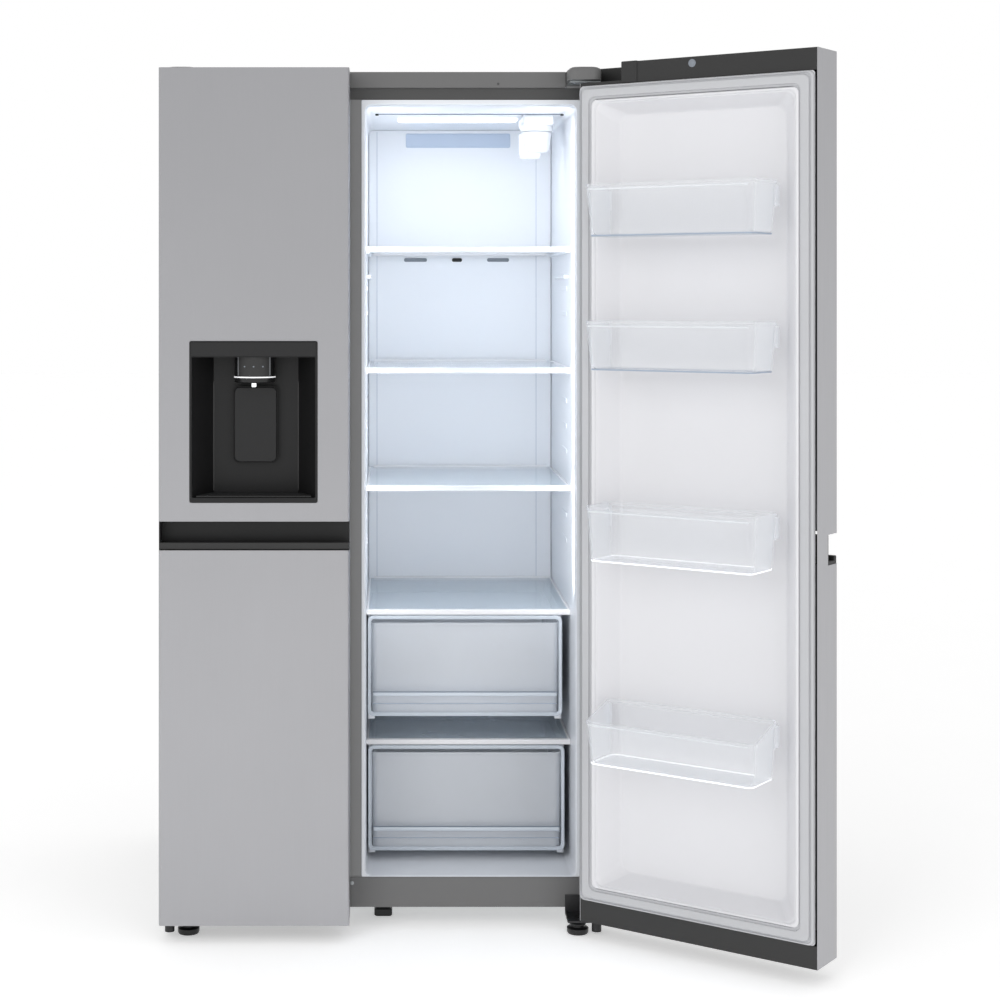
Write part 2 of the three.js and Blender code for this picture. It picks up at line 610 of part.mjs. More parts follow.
function makeGasket(door, name) {
  const { width, doorBlock } = door;
  const flat = doorBlock(1.5, width - 6, DOOR_BACK + GAP, -6.5, PANEL_LOW + 0.5, PANEL_HIGH - 0.5);
  const bulb = doorBlock(16, width - 6, -7, -2.3, PANEL_LOW + 0.5, PANEL_HIGH - 0.5);
  const opening = doorBlock(
    BORDER, width - FREE_BORDER, DOOR_BACK - 1, 0, PANEL_LOW + 29, PANEL_HIGH - 29,
  );
  place(`${name}_gasket`, cut(join(flat, bulb), opening), rubber, door.parent);
}

function linerDike(door) {
  const { width, doorBlock } = door;
  return join(
    doorBlock(1.6, width - 6, DOOR_BACK - 3, DOOR_BACK - GAP, PANEL_LOW, PANEL_HIGH),
    doorBlock(BORDER + 1, width - FREE_BORDER - 1, RECESS_BACK - WALL, RIM_FACE,
      PANEL_LOW + 30, PANEL_HIGH - 30),
  );
}

function recessPocket(door, zLow, zHigh) {
  return door.pocket(
    BORDER + 7, door.width - FREE_BORDER - 7, [zLow, zHigh], RIM_FACE + 0.1, RECESS_BACK,
    RECESS_TAPER_U, RECESS_TAPER_Z,
  );
}

function makeGrip(door, name) {
  const lip = DOOR_FRONT + 6;
  const back = DOOR_FRONT + GRIP_DEPTH - GAP;
  const points = [
    [lip, GRIP_LOW + GAP], [back, GRIP_LOW + GAP], [back, GRIP_HIGH - GAP], [back - WALL, GRIP_HIGH - GAP],
    [back - WALL, GRIP_LIP_TOP - 8], [lip + 10, GRIP_LIP_TOP - 8],
    [lip + 10, GRIP_LIP_TOP], [lip, GRIP_LIP_TOP],
  ];
  const ends = [door.x(0), door.x(door.width)].sort((a, b) => a - b);
  const endWall = door.doorBlock(0.2, WALL, lip, back, GRIP_LOW + GAP, GRIP_HIGH - GAP);
  const channel = beam(points, ends[0] + 0.2, ends[1] - 0.2);
  place(`${name}_grip`, join(channel, endWall), black, door.parent);
}

// Bins hang in the recess: their backs are set into it and their fronts reach into the cabinet.
const BIN_BACK = DOOR_BACK - 12;
const BIN_FRONT = DOOR_BACK + 105;
const BIN_START = 66;

function makeBins(door, name, heights, binEnd) {
  const { doorBlock } = door;
  heights.forEach(([low, high], i) => {
    const tub = doorBlock(BIN_START, binEnd, BIN_BACK, BIN_FRONT, low, high);
    const room = doorBlock(
      BIN_START + WALL, binEnd - WALL, BIN_BACK + WALL, BIN_FRONT - WALL, low + WALL, high + 1,
    );
    const label = heights.length > 1 ? `${name}_bin_${i + 1}` : `${name}_bin`;
    place(label, cut(tub, room), clearPlastic, door.parent);
  });
}

// ---- Dispenser ----
const DISPENSER = { left: -392.7, right: -132.8, low: 893.8, high: 1221.9 };
const DISPENSER_MIDDLE = (DISPENSER.left + DISPENSER.right) / 2;
const DISPENSER_BACK = DOOR_FRONT + 80;
const STRIP_LOW = 1190.7;         // the control strip fills the space above this
const NOZZLE = { y: DOOR_FRONT + 46, radius: 42, low: 1136 };
const MOUTH = { radius: 26, low: 1130, high: 1150 };
const PADDLE = { half: 45.5, front: DOOR_FRONT + 60, back: DOOR_FRONT + 67, low: 970, high: 1128 };

function makeDispenser(door) {
  const { left, right, low, high } = DISPENSER;
  const bezel = block(left, right, DOOR_FRONT - 1, DOOR_FRONT + 2, low, high);
  const box = block(left + 4, right - 4, DOOR_FRONT + 1, DISPENSER_BACK + WALL, low + 4, high - 4);
  const recess = taperedPocket([left + 4.5, right - 4.5], [low + 8, STRIP_LOW],
    DOOR_FRONT - 2, DISPENSER_BACK, 38, 0);
  place('dispenser_housing', cut(join(bezel, box), recess), black, door.parent);

  const x = DISPENSER_MIDDLE;
  const behind = block(left, right, DISPENSER_BACK - GAP, 0, MOUTH.low, high);
  const drum = rod(x, NOZZLE.y, NOZZLE.low, STRIP_LOW - GAP, NOZZLE.radius, 40);
  const mouth = rod(x, NOZZLE.y, MOUTH.low, MOUTH.high, MOUTH.radius, 32);
  place('dispenser_nozzle', cut(drum, behind, mouth), darkGrey, door.parent);

  const { half, front, back } = PADDLE;
  const plate = block(x - half, x + half, front, back, PADDLE.low, PADDLE.high);
  place('dispenser_paddle', plate, black, door.parent);
}

const BULGE_FACE = 25;            // the freezer door's liner reaches in here behind the dispenser
const BULGE = { left: -395, right: -118, low: 865, high: 1575 };
const ICE_BIN = { left: -392, right: -142, low: 1250, high: 1560, reach: 128 };

function makeFreezerDoorInside(door) {
  const { left, right, low, high } = BULGE;
  const bulge = block(left, right, RECESS_BACK - WALL, BULGE_FACE, low, high);
  const hollow = block(
    left + WALL, right - 12, RECESS_BACK - WALL - 1, BULGE_FACE - WALL, low + WALL, high - WALL,
  );
  const recesses = [
    recessPocket(door, RECESS_LOW, low - 20), recessPocket(door, high + 10, RECESS_HIGH),
  ];
  const liner = cut(join(cut(linerDike(door), ...recesses), bulge), hollow);
  place('freezer_door_liner', liner, white, door.parent);

  const bin = ICE_BIN;
  const tub = block(bin.left, bin.right, BULGE_FACE + GAP, bin.reach, bin.low, bin.high);
  const room = block(
    bin.left + WALL, bin.right - WALL, BULGE_FACE + 4, bin.reach - WALL, bin.low + 4, bin.high + 1,
  );
  place('ice_bin', cut(tub, room), clearPlastic, door.parent);
}

function makeDoors() {
  const fridge = doorFrame(1, FRIDGE_DOOR_WIDTH, FRIDGE_DOOR_HIGH);
  makeSkin(fridge, 'fridge_door_skin', null);
  makeCaps(fridge, 'fridge_door');
  makeGasket(fridge, 'fridge_door');
  const fridgeLiner = cut(linerDike(fridge), recessPocket(fridge, RECESS_LOW, RECESS_HIGH));
  place('fridge_door_liner', fridgeLiner, white, fridge.parent);
  makeGrip(fridge, 'fridge_door');
  makeBins(fridge, 'fridge_door', FRIDGE_BINS, 436);

  const freezer = doorFrame(-1, FREEZER_DOOR_WIDTH, FREEZER_DOOR_HIGH);
  const { left, right, low, high } = DISPENSER;
  makeSkin(freezer, 'freezer_door_skin', block(
    left - GAP, right + GAP, DOOR_FRONT - 1, DOOR_FRONT + 3, low - GAP, high + GAP,
  ));
  makeCaps(freezer, 'freezer_door');
  makeGasket(freezer, 'freezer_door');
  makeGrip(freezer, 'freezer_door');
  makeDispenser(freezer);
  makeFreezerDoorInside(freezer);
  makeBins(freezer, 'freezer_door', FREEZER_BIN, FREEZER_DOOR_WIDTH - 83);
  group.add(freezer.parent);

  // The fridge door stands open: it turns about its hinge pin.
  const swing = new THREE.Group();
  swing.position.set(PIVOT_X, PIVOT_Y, 0);
  swing.rotation.z = THREE.MathUtils.degToRad(DOOR_OPEN_DEG);
  fridge.parent.position.set(-PIVOT_X, -PIVOT_Y, 0);
  swing.add(fridge.parent);
  group.add(swing);
}

makeWrap();
makeFrontFrame();
makeFoam();
makeBack();
makeBasePan();
makeBaseCover();
makeRollers();
makeTopCover();
makeHinges();
makeFeet();
makeCompressor();
makeCondenser();
makeCondenserFan();
makeRearCover();
makeRooms();
makeColdParts();
makeCeiling();
makeDoors();
group.position.y = -FOOT_Y;

export default group;
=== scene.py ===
"""Side by side refrigerator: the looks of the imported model. Metres, in the model's own frame."""
import json
from math import cos, pi, radians, sin

import bmesh
import bpy
from mathutils import Matrix, Vector


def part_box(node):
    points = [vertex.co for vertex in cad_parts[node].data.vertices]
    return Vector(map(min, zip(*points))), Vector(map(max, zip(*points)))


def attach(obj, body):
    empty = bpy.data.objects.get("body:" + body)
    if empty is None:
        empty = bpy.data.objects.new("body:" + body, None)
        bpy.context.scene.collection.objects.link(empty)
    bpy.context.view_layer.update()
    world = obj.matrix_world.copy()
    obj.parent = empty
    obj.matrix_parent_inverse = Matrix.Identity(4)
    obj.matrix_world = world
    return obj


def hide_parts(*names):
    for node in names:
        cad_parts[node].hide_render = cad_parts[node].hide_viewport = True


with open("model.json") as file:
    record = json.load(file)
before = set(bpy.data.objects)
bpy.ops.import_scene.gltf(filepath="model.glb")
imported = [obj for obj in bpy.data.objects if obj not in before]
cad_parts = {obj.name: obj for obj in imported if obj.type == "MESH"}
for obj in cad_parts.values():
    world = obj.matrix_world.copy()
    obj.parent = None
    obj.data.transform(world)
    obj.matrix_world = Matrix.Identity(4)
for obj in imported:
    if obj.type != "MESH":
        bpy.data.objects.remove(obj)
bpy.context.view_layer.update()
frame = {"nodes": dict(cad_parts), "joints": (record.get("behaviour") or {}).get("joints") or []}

# ---- Sizes that belong to the looks ----
SKIN = 0.0012                 # steel sheet of a door
SKIN_RADIUS = 0.006           # round front edges of a door
WALL = 0.003                  # moulded walls
FLANGE = 0.0093               # liner flange around a room
ROOM_RADIUS = 0.012           # round corners of a room
STEP_DEPTH = 0.4535           # from a liner's flange to the step over the machine room
STEP_RISE = 0.237
CAP_ROUND = 0.0042
NOTCH_LOW = 1.748             # the hinge notch in a door's top: its floor, its width and its depth
NOTCH_WIDTH = 0.096
NOTCH_DEPTH = 0.080
BORDER = 0.030                # gasket width at the hinge edge of a door
FREE_BORDER = 0.0335
RECESS = 0.038                # depth of the recess in a door's inner face
RIM = 0.010                   # how far the rim stands proud of that face
FLOOR_RISE = 0.0032           # a room's floor above its liner's lowest edge
CEILING_DROP = 0.0123         # a room's ceiling below its liner's highest edge
SHELF_STOP = 0.003            # a shelf's back stop above its glass
TRIM_PROUD = 0.006            # the top trim in front of the front frame
CLEARANCE = 0.0003            # between pieces that meet
CORNER_STEPS = 6


# ---- Camera, light and floor ----
def make_camera():
    data = bpy.data.cameras.new("camera")
    data.sensor_fit = "HORIZONTAL"
    data.sensor_width = 36.0
    data.lens = 71.22
    data.shift_x = 0.1134
    data.shift_y = -0.2033
    data.clip_end = 200.0
    camera = bpy.data.objects.new("camera", data)
    camera.location = (0.00711, -4.20265, 1.31075)
    camera.rotation_euler = (pi / 2, 0, 0)
    bpy.context.scene.collection.objects.link(camera)
    bpy.context.scene.camera = camera


def area_light(name, place, target, size, power, colour=(1.0, 1.0, 1.0)):
    """A soft light that is not seen itself and leaves no bright patch on the steel."""
    data = bpy.data.lights.new(name, "AREA")
    data.shape = "RECTANGLE"
    data.size, data.size_y = size
    data.energy = power
    data.color = colour
    light = bpy.data.objects.new(name, data)
    light.location = place
    light.rotation_euler = (Vector(target) - Vector(place)).to_track_quat("-Z", "Y").to_euler()
    light.visible_glossy = False
    light.visible_camera = False
    bpy.context.scene.collection.objects.link(light)


def set_inputs(node, values):
    for name, value in values.items():
        node.inputs[name].default_value = value


def make_world():
    world = bpy.data.worlds.new("studio")
    world.use_nodes = True
    tree = world.node_tree
    place = tree.nodes.new("ShaderNodeTexCoord")
    split = tree.nodes.new("ShaderNodeSeparateXYZ")
    fade = tree.nodes.new("ShaderNodeMapRange")
    background = tree.nodes["Background"]
    set_inputs(fade, {"From Min": 0.0, "From Max": 0.35, "To Min": 1.0, "To Max": 0.64})
    tree.links.new(place.outputs["Generated"], split.inputs[0])
    tree.links.new(split.outputs["Z"], fade.inputs["Value"])
    tree.links.new(fade.outputs["Result"], background.inputs["Strength"])
    white = (1.0, 1.0, 1.0, 1.0)
    set_inputs(background, {"Color": white})
    seen = tree.nodes.new("ShaderNodeBackground")
    set_inputs(seen, {"Color": white, "Strength": 1.0})
    path = tree.nodes.new("ShaderNodeLightPath")
    mix = tree.nodes.new("ShaderNodeMixShader")
    tree.links.new(path.outputs["Is Camera Ray"], mix.inputs[0])
    tree.links.new(background.outputs[0], mix.inputs[1])
    tree.links.new(seen.outputs[0], mix.inputs[2])
    tree.links.new(mix.outputs[0], tree.nodes["World Output"].inputs["Surface"])
    bpy.context.scene.world = world
    bpy.context.scene.view_settings.view_transform = "Standard"
    bpy.context.scene.cycles.transparent_max_bounces = 32


def make_lights():
    light_low, light_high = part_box("ceiling_light")
    middle = (light_low + light_high) / 2
    area_light("key", (-2.2, -4.2, 3.0), (0.1, 0, 0.9), (2.4, 2.4), 55)
    area_light("fill", (2.6, -3.6, 1.4), (0.2, 0, 0.8), (2.0, 2.6), 18)
    area_light("ceiling_led", (middle.x, middle.y, light_low.z - 0.004),
               (middle.x, middle.y + 0.02, 0), (0.25, 0.07), 0.5, (0.95, 0.975, 1.0))
    room_low, room_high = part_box("fridge_liner")
    shelf_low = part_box("crisper_cover_upper")[1].z
    centre = (shelf_low + room_high.z) / 2
    height = 0.92 * (room_high.z - shelf_low)
    aim = (middle.x, room_high.y, centre)
    for side, x in (("left", room_low.x + FLANGE + 0.012), ("right", room_high.x - FLANGE - 0.012)):
        place = (x, room_low.y + 0.022, centre)
        area_light(f"room_{side}", place, aim, (0.02, height), 1.25, (0.96, 0.98, 1.0))


def make_floor():
    bm = bmesh.new()
    half = 30.0
    bmesh.ops.create_grid(bm, x_segments=8, y_segments=8, size=half)
    floor = new_object("floor", bm)
    floor.location.z = min(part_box(n)[0].z for n in ("centre_foot", "levelling_leg_left"))
    floor.data.materials.append(LOOKS["floor"])


# ---- Materials ----
def srgb(code):
    def linear(part):
        return part / 12.92 if part <= 0.04045 else ((part + 0.055) / 1.055) ** 2.4
    return tuple(linear(int(code[i:i + 2], 16) / 255) for i in (1, 3, 5))


class Look:
    """A material whose colour, roughness and bump come from procedural noise."""

    def __init__(self, name):
        self.material = bpy.data.materials.new(name)
        self.material.use_nodes = True
        self.tree = self.material.node_tree
        self.shader = self.tree.nodes["Principled BSDF"]
        self.coords = self.tree.nodes.new("ShaderNodeTexCoord")

    def link(self, out, into):
        self.tree.links.new(out, into)

    def noise(self, scale, stretch=(1, 1, 1), detail=3.0):
        mapping = self.tree.nodes.new("ShaderNodeMapping")
        set_inputs(mapping, {"Scale": stretch})
        noise = self.tree.nodes.new("ShaderNodeTexNoise")
        set_inputs(noise, {"Scale": scale, "Detail": detail})
        self.link(self.coords.outputs["Object"], mapping.inputs["Vector"])
        self.link(mapping.outputs["Vector"], noise.inputs["Vector"])
        return noise.outputs["Fac"]

    def between(self, value, low, high):
        span = self.tree.nodes.new("ShaderNodeMapRange")
        set_inputs(span, {"From Min": 0.3, "From Max": 0.7, "To Min": low, "To Max": high})
        self.link(value, span.inputs["Value"])
        return span.outputs["Result"]

    def colour(self, value, dark, light):
        ramp = self.tree.nodes.new("ShaderNodeValToRGB")
        ramp.color_ramp.elements[0].position = 0.3
        ramp.color_ramp.elements[1].position = 0.7
        ramp.color_ramp.elements[0].color = (*dark, 1)
        ramp.color_ramp.elements[1].color = (*light, 1)
        self.link(value, ramp.inputs["Fac"])
        self.link(ramp.outputs["Color"], self.shader.inputs["Base Color"])

    def bump(self, value, distance, strength=0.5):
        bump = self.tree.nodes.new("ShaderNodeBump")
        set_inputs(bump, {"Distance": distance, "Strength": strength})
        self.link(value, bump.inputs["Height"])
        self.link(bump.outputs["Normal"], self.shader.inputs["Normal"])


def shades(code, spread):
    tone = srgb(code)
    return [tuple(min(1.0, part * (1 + sign * spread)) for part in tone) for sign in (-1, 1)]


def opaque(name, code, rough, metal=0.0, spread=0.03, grain=900, stretch=(1, 1, 1), relief=0.00005,
           clouds=3.0, coat=0.0, glow=0.0):
    """Colour varies in broad clouds, roughness and bump in the fine grain of the surface."""
    look = Look(name)
    look.colour(look.noise(clouds), *shades(code, spread))
    fine = look.noise(grain, stretch)
    look.link(look.between(fine, rough * 0.86, min(1.0, rough * 1.16)), look.shader.inputs["Roughness"])
    look.bump(fine, relief)
    set_inputs(look.shader, {"Metallic": metal, "Coat Weight": coat})
    if glow:
        set_inputs(look.shader, {"Emission Color": (*srgb(code), 1), "Emission Strength": glow})
    return look.material


def clear(name, code, face, edge, rough=0.06):
    """See-through: faint where it is seen square on, and stronger where it is seen along its surface."""
    look = Look(name)
    look.colour(look.noise(4.0), *shades(code, 0.02))
    facing = look.tree.nodes.new("ShaderNodeLayerWeight")
    set_inputs(facing, {"Blend": 0.35})
    span = look.tree.nodes.new("ShaderNodeMapRange")
    set_inputs(span, {"To Min": face, "To Max": edge})
    look.link(facing.outputs["Facing"], span.inputs["Value"])
    look.link(span.outputs["Result"], look.shader.inputs["Alpha"])
    ripple = look.noise(18.0)
    look.link(look.between(ripple, rough * 0.7, rough * 1.5), look.shader.inputs["Roughness"])
    look.bump(ripple, 0.0004, 0.08)
    return look.material


GRAIN_ALONG_Z = (1.0, 1.0, 0.012)


def make_looks():
    looks = {}

    def solid(name, *tone, **detail):
        looks[name] = opaque(name, *tone, **detail)

    def see_through(name, *tone):
        looks[name] = clear(name, *tone)

    solid("stainless_steel", "#aeaeb1", 0.36, metal=0.9, spread=0.012, grain=700,
          stretch=GRAIN_ALONG_Z, relief=0.00002)
    solid("dark_paint", "#696969", 0.5, spread=0.02, grain=700)
    solid("shadow_paint", "#474747", 0.55, spread=0.02, grain=700)
    # Painted highlight: a glowing white for the bright ring round the dispenser nozzle and the bright foot
    # edges of clear door bins
    solid("painted_highlight_white", "#fbfcff", 0.3, spread=0.01, grain=700, glow=0.35)
    solid("line_grey", "#9aa6b8", 0.3, spread=0.02, grain=700)
    solid("line_slate", "#66717f", 0.35, spread=0.02, grain=700)
    solid("paddle_plastic", "#171718", 0.5, spread=0.05, grain=1400, relief=0.00006)
    # Painted shadow: near black for the shade in the groove round the dispenser paddle
    solid("groove_shadow_black", "#040404", 0.7, spread=0.05, grain=1400, relief=0.00006)
    # Painted light: the cabinet's grey paint made lighter, for the front frame alone, standing in for light
    # that falls on the frame
    solid("painted_light_frame_grey", "#868686", 0.5, spread=0.02, grain=700)
    solid("back_steel", "#8d8f92", 0.5, metal=0.5, spread=0.04, grain=300)
    solid("galvanised_steel", "#a2a6a8", 0.42, metal=0.9, spread=0.14, grain=120, relief=0.0001, clouds=60)
    solid("insulation_foam", "#e6ddb8", 0.95, spread=0.08, grain=260, relief=0.0006, clouds=40)
    solid("white_liner", "#e5e8ed", 0.32, spread=0.012, grain=500, relief=0.00003, coat=0.1)
    solid("door_liner", "#dfdfe2", 0.34, spread=0.01, grain=500, relief=0.00003, coat=0.1)
    solid("outlet", "#b9c6d8", 0.5, spread=0.03, grain=500)
    solid("vent", "#80868e", 0.6, spread=0.05, grain=500)
    solid("lamp_lens", "#f8fbff", 0.35, spread=0.01, grain=600, glow=1.1)
    solid("black_paint", "#212123", 0.42, spread=0.08, grain=500, relief=0.0001)
    solid("coil_metal", "#8c8f92", 0.4, metal=0.9, spread=0.06, grain=400)
    solid("dark_plastic", "#2a2a2a", 0.5, spread=0.05, grain=1400, relief=0.0001)
    solid("black_plastic", "#161617", 0.3, spread=0.08, grain=900, relief=0.00004)
    solid("recess_plastic", "#101011", 0.5, spread=0.05, grain=1400, relief=0.00008)
    solid("gasket_vinyl", "#bfc0c3", 0.7, spread=0.03, grain=400, relief=0.0001)
    see_through("shelf_glass", "#cfdde8", 0.16, 0.62)
    see_through("clear_plastic", "#eef1f5", 0.055, 0.7)
    see_through("frame_plastic", "#f4f7fb", 0.42, 0.95)
    see_through("crisper_plastic", "#f0f4fa", 0.38, 0.85, 0.12)
    see_through("crisper_frame", "#e4ecf5", 0.50, 0.95, 0.12)
    solid("floor", "#f4f4f4", 0.75, spread=0.006, grain=60, relief=0.00002, glow=0.44)
    return looks


# ---- Shape helpers ----
def new_object(name, bm, sharp=35, weighted=True):
    bmesh.ops.recalc_face_normals(bm, faces=bm.faces)
    mesh = bpy.data.meshes.new(name)
    bm.to_mesh(mesh)
    bm.free()
    mesh.polygons.foreach_set("use_smooth", [True] * len(mesh.polygons))
    mesh.set_sharp_from_angle(angle=radians(sharp))
    piece = bpy.data.objects.new(name, mesh)
    bpy.context.scene.collection.objects.link(piece)
    if weighted:
        piece.modifiers.new("weighted", "WEIGHTED_NORMAL").keep_sharp = True
    return piece


def settle(piece, slot, body, nodes=(), look=None, swing=None):
    """Gives a piece its material (its look, or else the slot's) and body, and hides the model's nodes that it
    stands for.
    """
    if swing is not None:
        piece.data.transform(swing)
    piece.data.materials.append(LOOKS[look or slot])
    if nodes:
        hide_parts(*nodes)
    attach(piece, body)
    return piece


def add(name, shape, slot, body, nodes=(), look=None):
    """A new piece of one shape, with its material and body."""
    return settle(new_object(name, shape), slot, body, nodes, look)


def ring(a0, a1, b0, b1, radius, place, steps=CORNER_STEPS):
    """Points round a rectangle with round corners. place turns each (a, b) into a point."""
    radius = max(0.0002, min(radius, (a1 - a0) / 2 - 0.0001, (b1 - b0) / 2 - 0.0001))
    corners = [(a1 - radius, b0 + radius, -90), (a1 - radius, b1 - radius, 0),
               (a0 + radius, b1 - radius, 90), (a0 + radius, b0 + radius, 180)]
    points = []
    for ca, cb, start in corners:
        for i in range(steps + 1):
            angle = radians(start + 90 * i / steps)
            points.append(place(ca + radius * cos(angle), cb + radius * sin(angle)))
    return points


def level(z):
    return lambda a, b: Vector((a, b, z))


def upright(y):
    return lambda a, b: Vector((a, y, b))


def loft(rings, closed=False):
    bm = bmesh.new()
    loops = [[bm.verts.new(point) for point in points] for points in rings]
    pairs = list(zip(loops, loops[1:]))
    if closed:
        pairs.append((loops[-1], loops[0]))
    for first, second in pairs:
        for i in range(len(first)):
            j = (i + 1) % len(first)
            bm.faces.new((first[i], first[j], second[j], second[i]))
    if not closed:
        bm.faces.new(loops[0])
        bm.faces.new(loops[-1])
    return bm


def lathe(profile, centre, steps=40, turn=None):
    """Profile of (radius, height) pairs turned about Z through the centre, or about turn @ Z."""
    turn = turn or Matrix.Identity(3)
    angles = [2 * pi * i / steps for i in range(steps)]
    return loft([
        [Vector(centre) + turn @ Vector((radius * cos(a), radius * sin(a), height)) for a in angles]
        for radius, height in profile
    ])


def plain_box(low, high):
    bm = bmesh.new()
    bmesh.ops.create_cube(bm, size=1.0)
    size = Vector(high) - Vector(low)
    bmesh.ops.transform(bm, matrix=Matrix.Translation((Vector(low) + Vector(high)) / 2)
                        @ Matrix.Diagonal((*size, 1)), verts=bm.verts)
    return bm


def bar(low, high, radius):
    """A block with every edge rounded."""
    bm = plain_box(low, high)
    most = min(Vector(high) - Vector(low)) * 0.45
    bmesh.ops.bevel(bm, geom=bm.edges[:], offset=min(radius, most), segments=3, profile=0.5, affect="EDGES")
    return bm


def merged(*parts):
    """Several bmeshes as one."""
    whole = bmesh.new()
    for part in parts:
        mesh = bpy.data.meshes.new("part")
        part.to_mesh(mesh)
        part.free()
        whole.from_mesh(mesh)
        bpy.data.meshes.remove(mesh)
    return whole


def from_node(node, radius, segments=2, unswing=None, angle=25):
    """The node's own shape with its flat faces cleaned and its edges rounded."""
    bm = bmesh.new()
    bm.from_mesh(frame["nodes"][node].data)
    if unswing is not None:
        bmesh.ops.transform(bm, matrix=unswing, verts=bm.verts)
    bmesh.ops.remove_doubles(bm, verts=bm.verts, dist=1e-5)
    bmesh.ops.dissolve_limit(bm, angle_limit=radians(0.5), verts=bm.verts, edges=bm.edges)
    sharp = [e for e in bm.edges if e.is_manifold and e.calc_face_angle(0) > radians(angle)]
    bmesh.ops.bevel(bm, geom=sharp, offset=radius, segments=segments, profile=0.5, affect="EDGES",
                    clamp_overlap=True)
    return bm


def carve(piece, *cutters):
    """Cuts the cutters' shapes out of a piece, for good."""
    for i, cutter_mesh in enumerate(cutters):
        cutter = new_object(f"cutter_{i}", cutter_mesh, weighted=False)
        boolean = piece.modifiers.new("cut", "BOOLEAN")
        boolean.object = cutter
        boolean.solver = "EXACT"
        piece.modifiers.move(len(piece.modifiers) - 1, i)
    bpy.context.view_layer.update()
    weighted = piece.modifiers.get("weighted")
    if weighted:
        piece.modifiers.remove(weighted)
    shown = piece.evaluated_get(bpy.context.evaluated_depsgraph_get())
    mesh = bpy.data.meshes.new_from_object(shown)
    for modifier in list(piece.modifiers):
        if modifier.type == "BOOLEAN":
            bpy.data.objects.remove(modifier.object)
    piece.modifiers.clear()
    piece.data = mesh
    mesh.polygons.foreach_set("use_smooth", [True] * len(mesh.polygons))
    mesh.set_sharp_from_angle(angle=radians(35))
    piece.modifiers.new("weighted", "WEIGHTED_NORMAL").keep_sharp = True
    return piece


def tub(x0, x1, y0, y1, z0, z1, radius, wall=0.0026, draft=0.0, lip=0.0018, lip_height=0.005, foot=0.006):
    """An open tub: its walls lean out by draft, its rim carries a lip, and its foot is rounded."""
    def outline(inset, z, corner):
        return ring(x0 + inset, x1 - inset, y0 + inset, y1 - inset, corner, level(z))
    body = lip
    return loft([
        outline(body + draft + foot, z0, radius),
        outline(body + draft + foot * 0.3, z0 + foot * 0.3, radius),
        outline(body + draft, z0 + foot, radius),
        outline(body, z1 - lip_height, radius),
        outline(0.0, z1 - lip_height + 0.0006, radius + lip),
        outline(0.0, z1 - 0.0008, radius + lip),
        outline(0.0008, z1, radius + lip),
        outline(body + wall - 0.0008, z1, radius - wall),
        outline(body + wall, z1 - 0.0008, radius - wall),
        outline(body + wall + draft, z0 + foot + wall, radius - wall),
        outline(body + wall + draft + foot * 0.7, z0 + wall, radius - wall),
    ])


# ---- Rooms ----
def make_liner(name, ledges):
    low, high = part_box(name)
    front, back = low.y, high.y
    x0, x1 = low.x + FLANGE, high.x - FLANGE
    z0, z1 = low.z + FLOOR_RISE, high.z - CEILING_DROP
    step_y = front + STEP_DEPTH
    step_z = z0 + STEP_RISE

    def room(y, floor, grow=0.0, radius=ROOM_RADIUS):
        return ring(x0 - grow, x1 + grow, floor - grow, z1 + grow, radius, upright(y))

    inner_back = back - WALL - 0.0005
    add(f"{name}_shell", loft([
        room(inner_back, step_z),
        room(step_y + 0.012, step_z),
        room(step_y + 0.003, step_z - 0.003),
        room(step_y, step_z - 0.012),
        room(step_y, z0 + 0.008),
        room(step_y - 0.004, z0 + 0.0015),
        room(step_y - 0.012, z0),
        room(front + 0.008, z0),
        room(front + 0.002, z0, 0.002),
        room(front, z0, 0.003, ROOM_RADIUS + 0.002),
        ring(low.x + 0.0012, high.x - 0.0012, low.z + 0.0006, high.z - 0.0006, 0.003, upright(front)),
        ring(low.x, high.x, low.z, high.z, 0.003, upright(front + 0.001)),
        room(front + 0.0012, z0, WALL),
        room(step_y + WALL, z0, WALL),
        room(step_y + WALL, step_z, WALL),
        room(inner_back + WALL, step_z, WALL),
    ]), "white_liner", "cabinet", [name])
    for i, (z, y1, width) in enumerate(ledges):
        for side, x_in, x_out in (("left", x0 - 0.001, x0 + width), ("right", x1 - width, x1 + 0.001)):
            add(f"{name}_ledge_{i}_{side}", bar(
                (x_in, front + 0.128, z - 0.013), (x_out, y1, z - 0.0064), 0.0015),
                "white_liner", "cabinet")


def make_shelf(node):
    low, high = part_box(node)
    top = high.z - SHELF_STOP
    front = low.y
    add(f"{node}_pane", bar(
        (low.x + 0.001, front + 0.006, top - 0.005), (high.x - 0.001, high.y - 0.004, top - 0.0006), 0.0012),
        "shelf_glass", "cabinet", [node])
    section = [(0.0, -0.0095), (0.0012, -0.0112), (0.0035, -0.0118), (0.0085, -0.0118), (0.010, -0.0106),
               (0.010, -0.0055), (0.0102, 0.0), (0.0035, 0.0), (0.0010, -0.0010), (0.0, -0.0028)]
    rings = [[Vector((x, front + y, top + z)) for y, z in section]
             for x in (low.x, low.x + 0.001, high.x - 0.001, high.x)]
    trim_look = "frame_plastic" if node.startswith("glass_shelf") else "door_liner"
    add(f"{node}_front_trim", loft(rings), "shelf_glass", "cabinet", look=trim_look)
    add(f"{node}_back_trim", bar(
        (low.x + 0.012, high.y - 0.008, top - 0.010), (high.x - 0.012, high.y, top + 0.003), 0.002),
        "shelf_glass", "cabinet", look="door_liner")
    for side, x0, x1 in (("left", low.x, low.x + 0.005), ("right", high.x - 0.005, high.x)):
        add(f"{node}_side_rail_{side}", bar(
            (x0, front + 0.009, top - 0.0062), (x1, high.y - 0.009, top + 0.0004), 0.0015),
            "shelf_glass", "cabinet", look="door_liner")


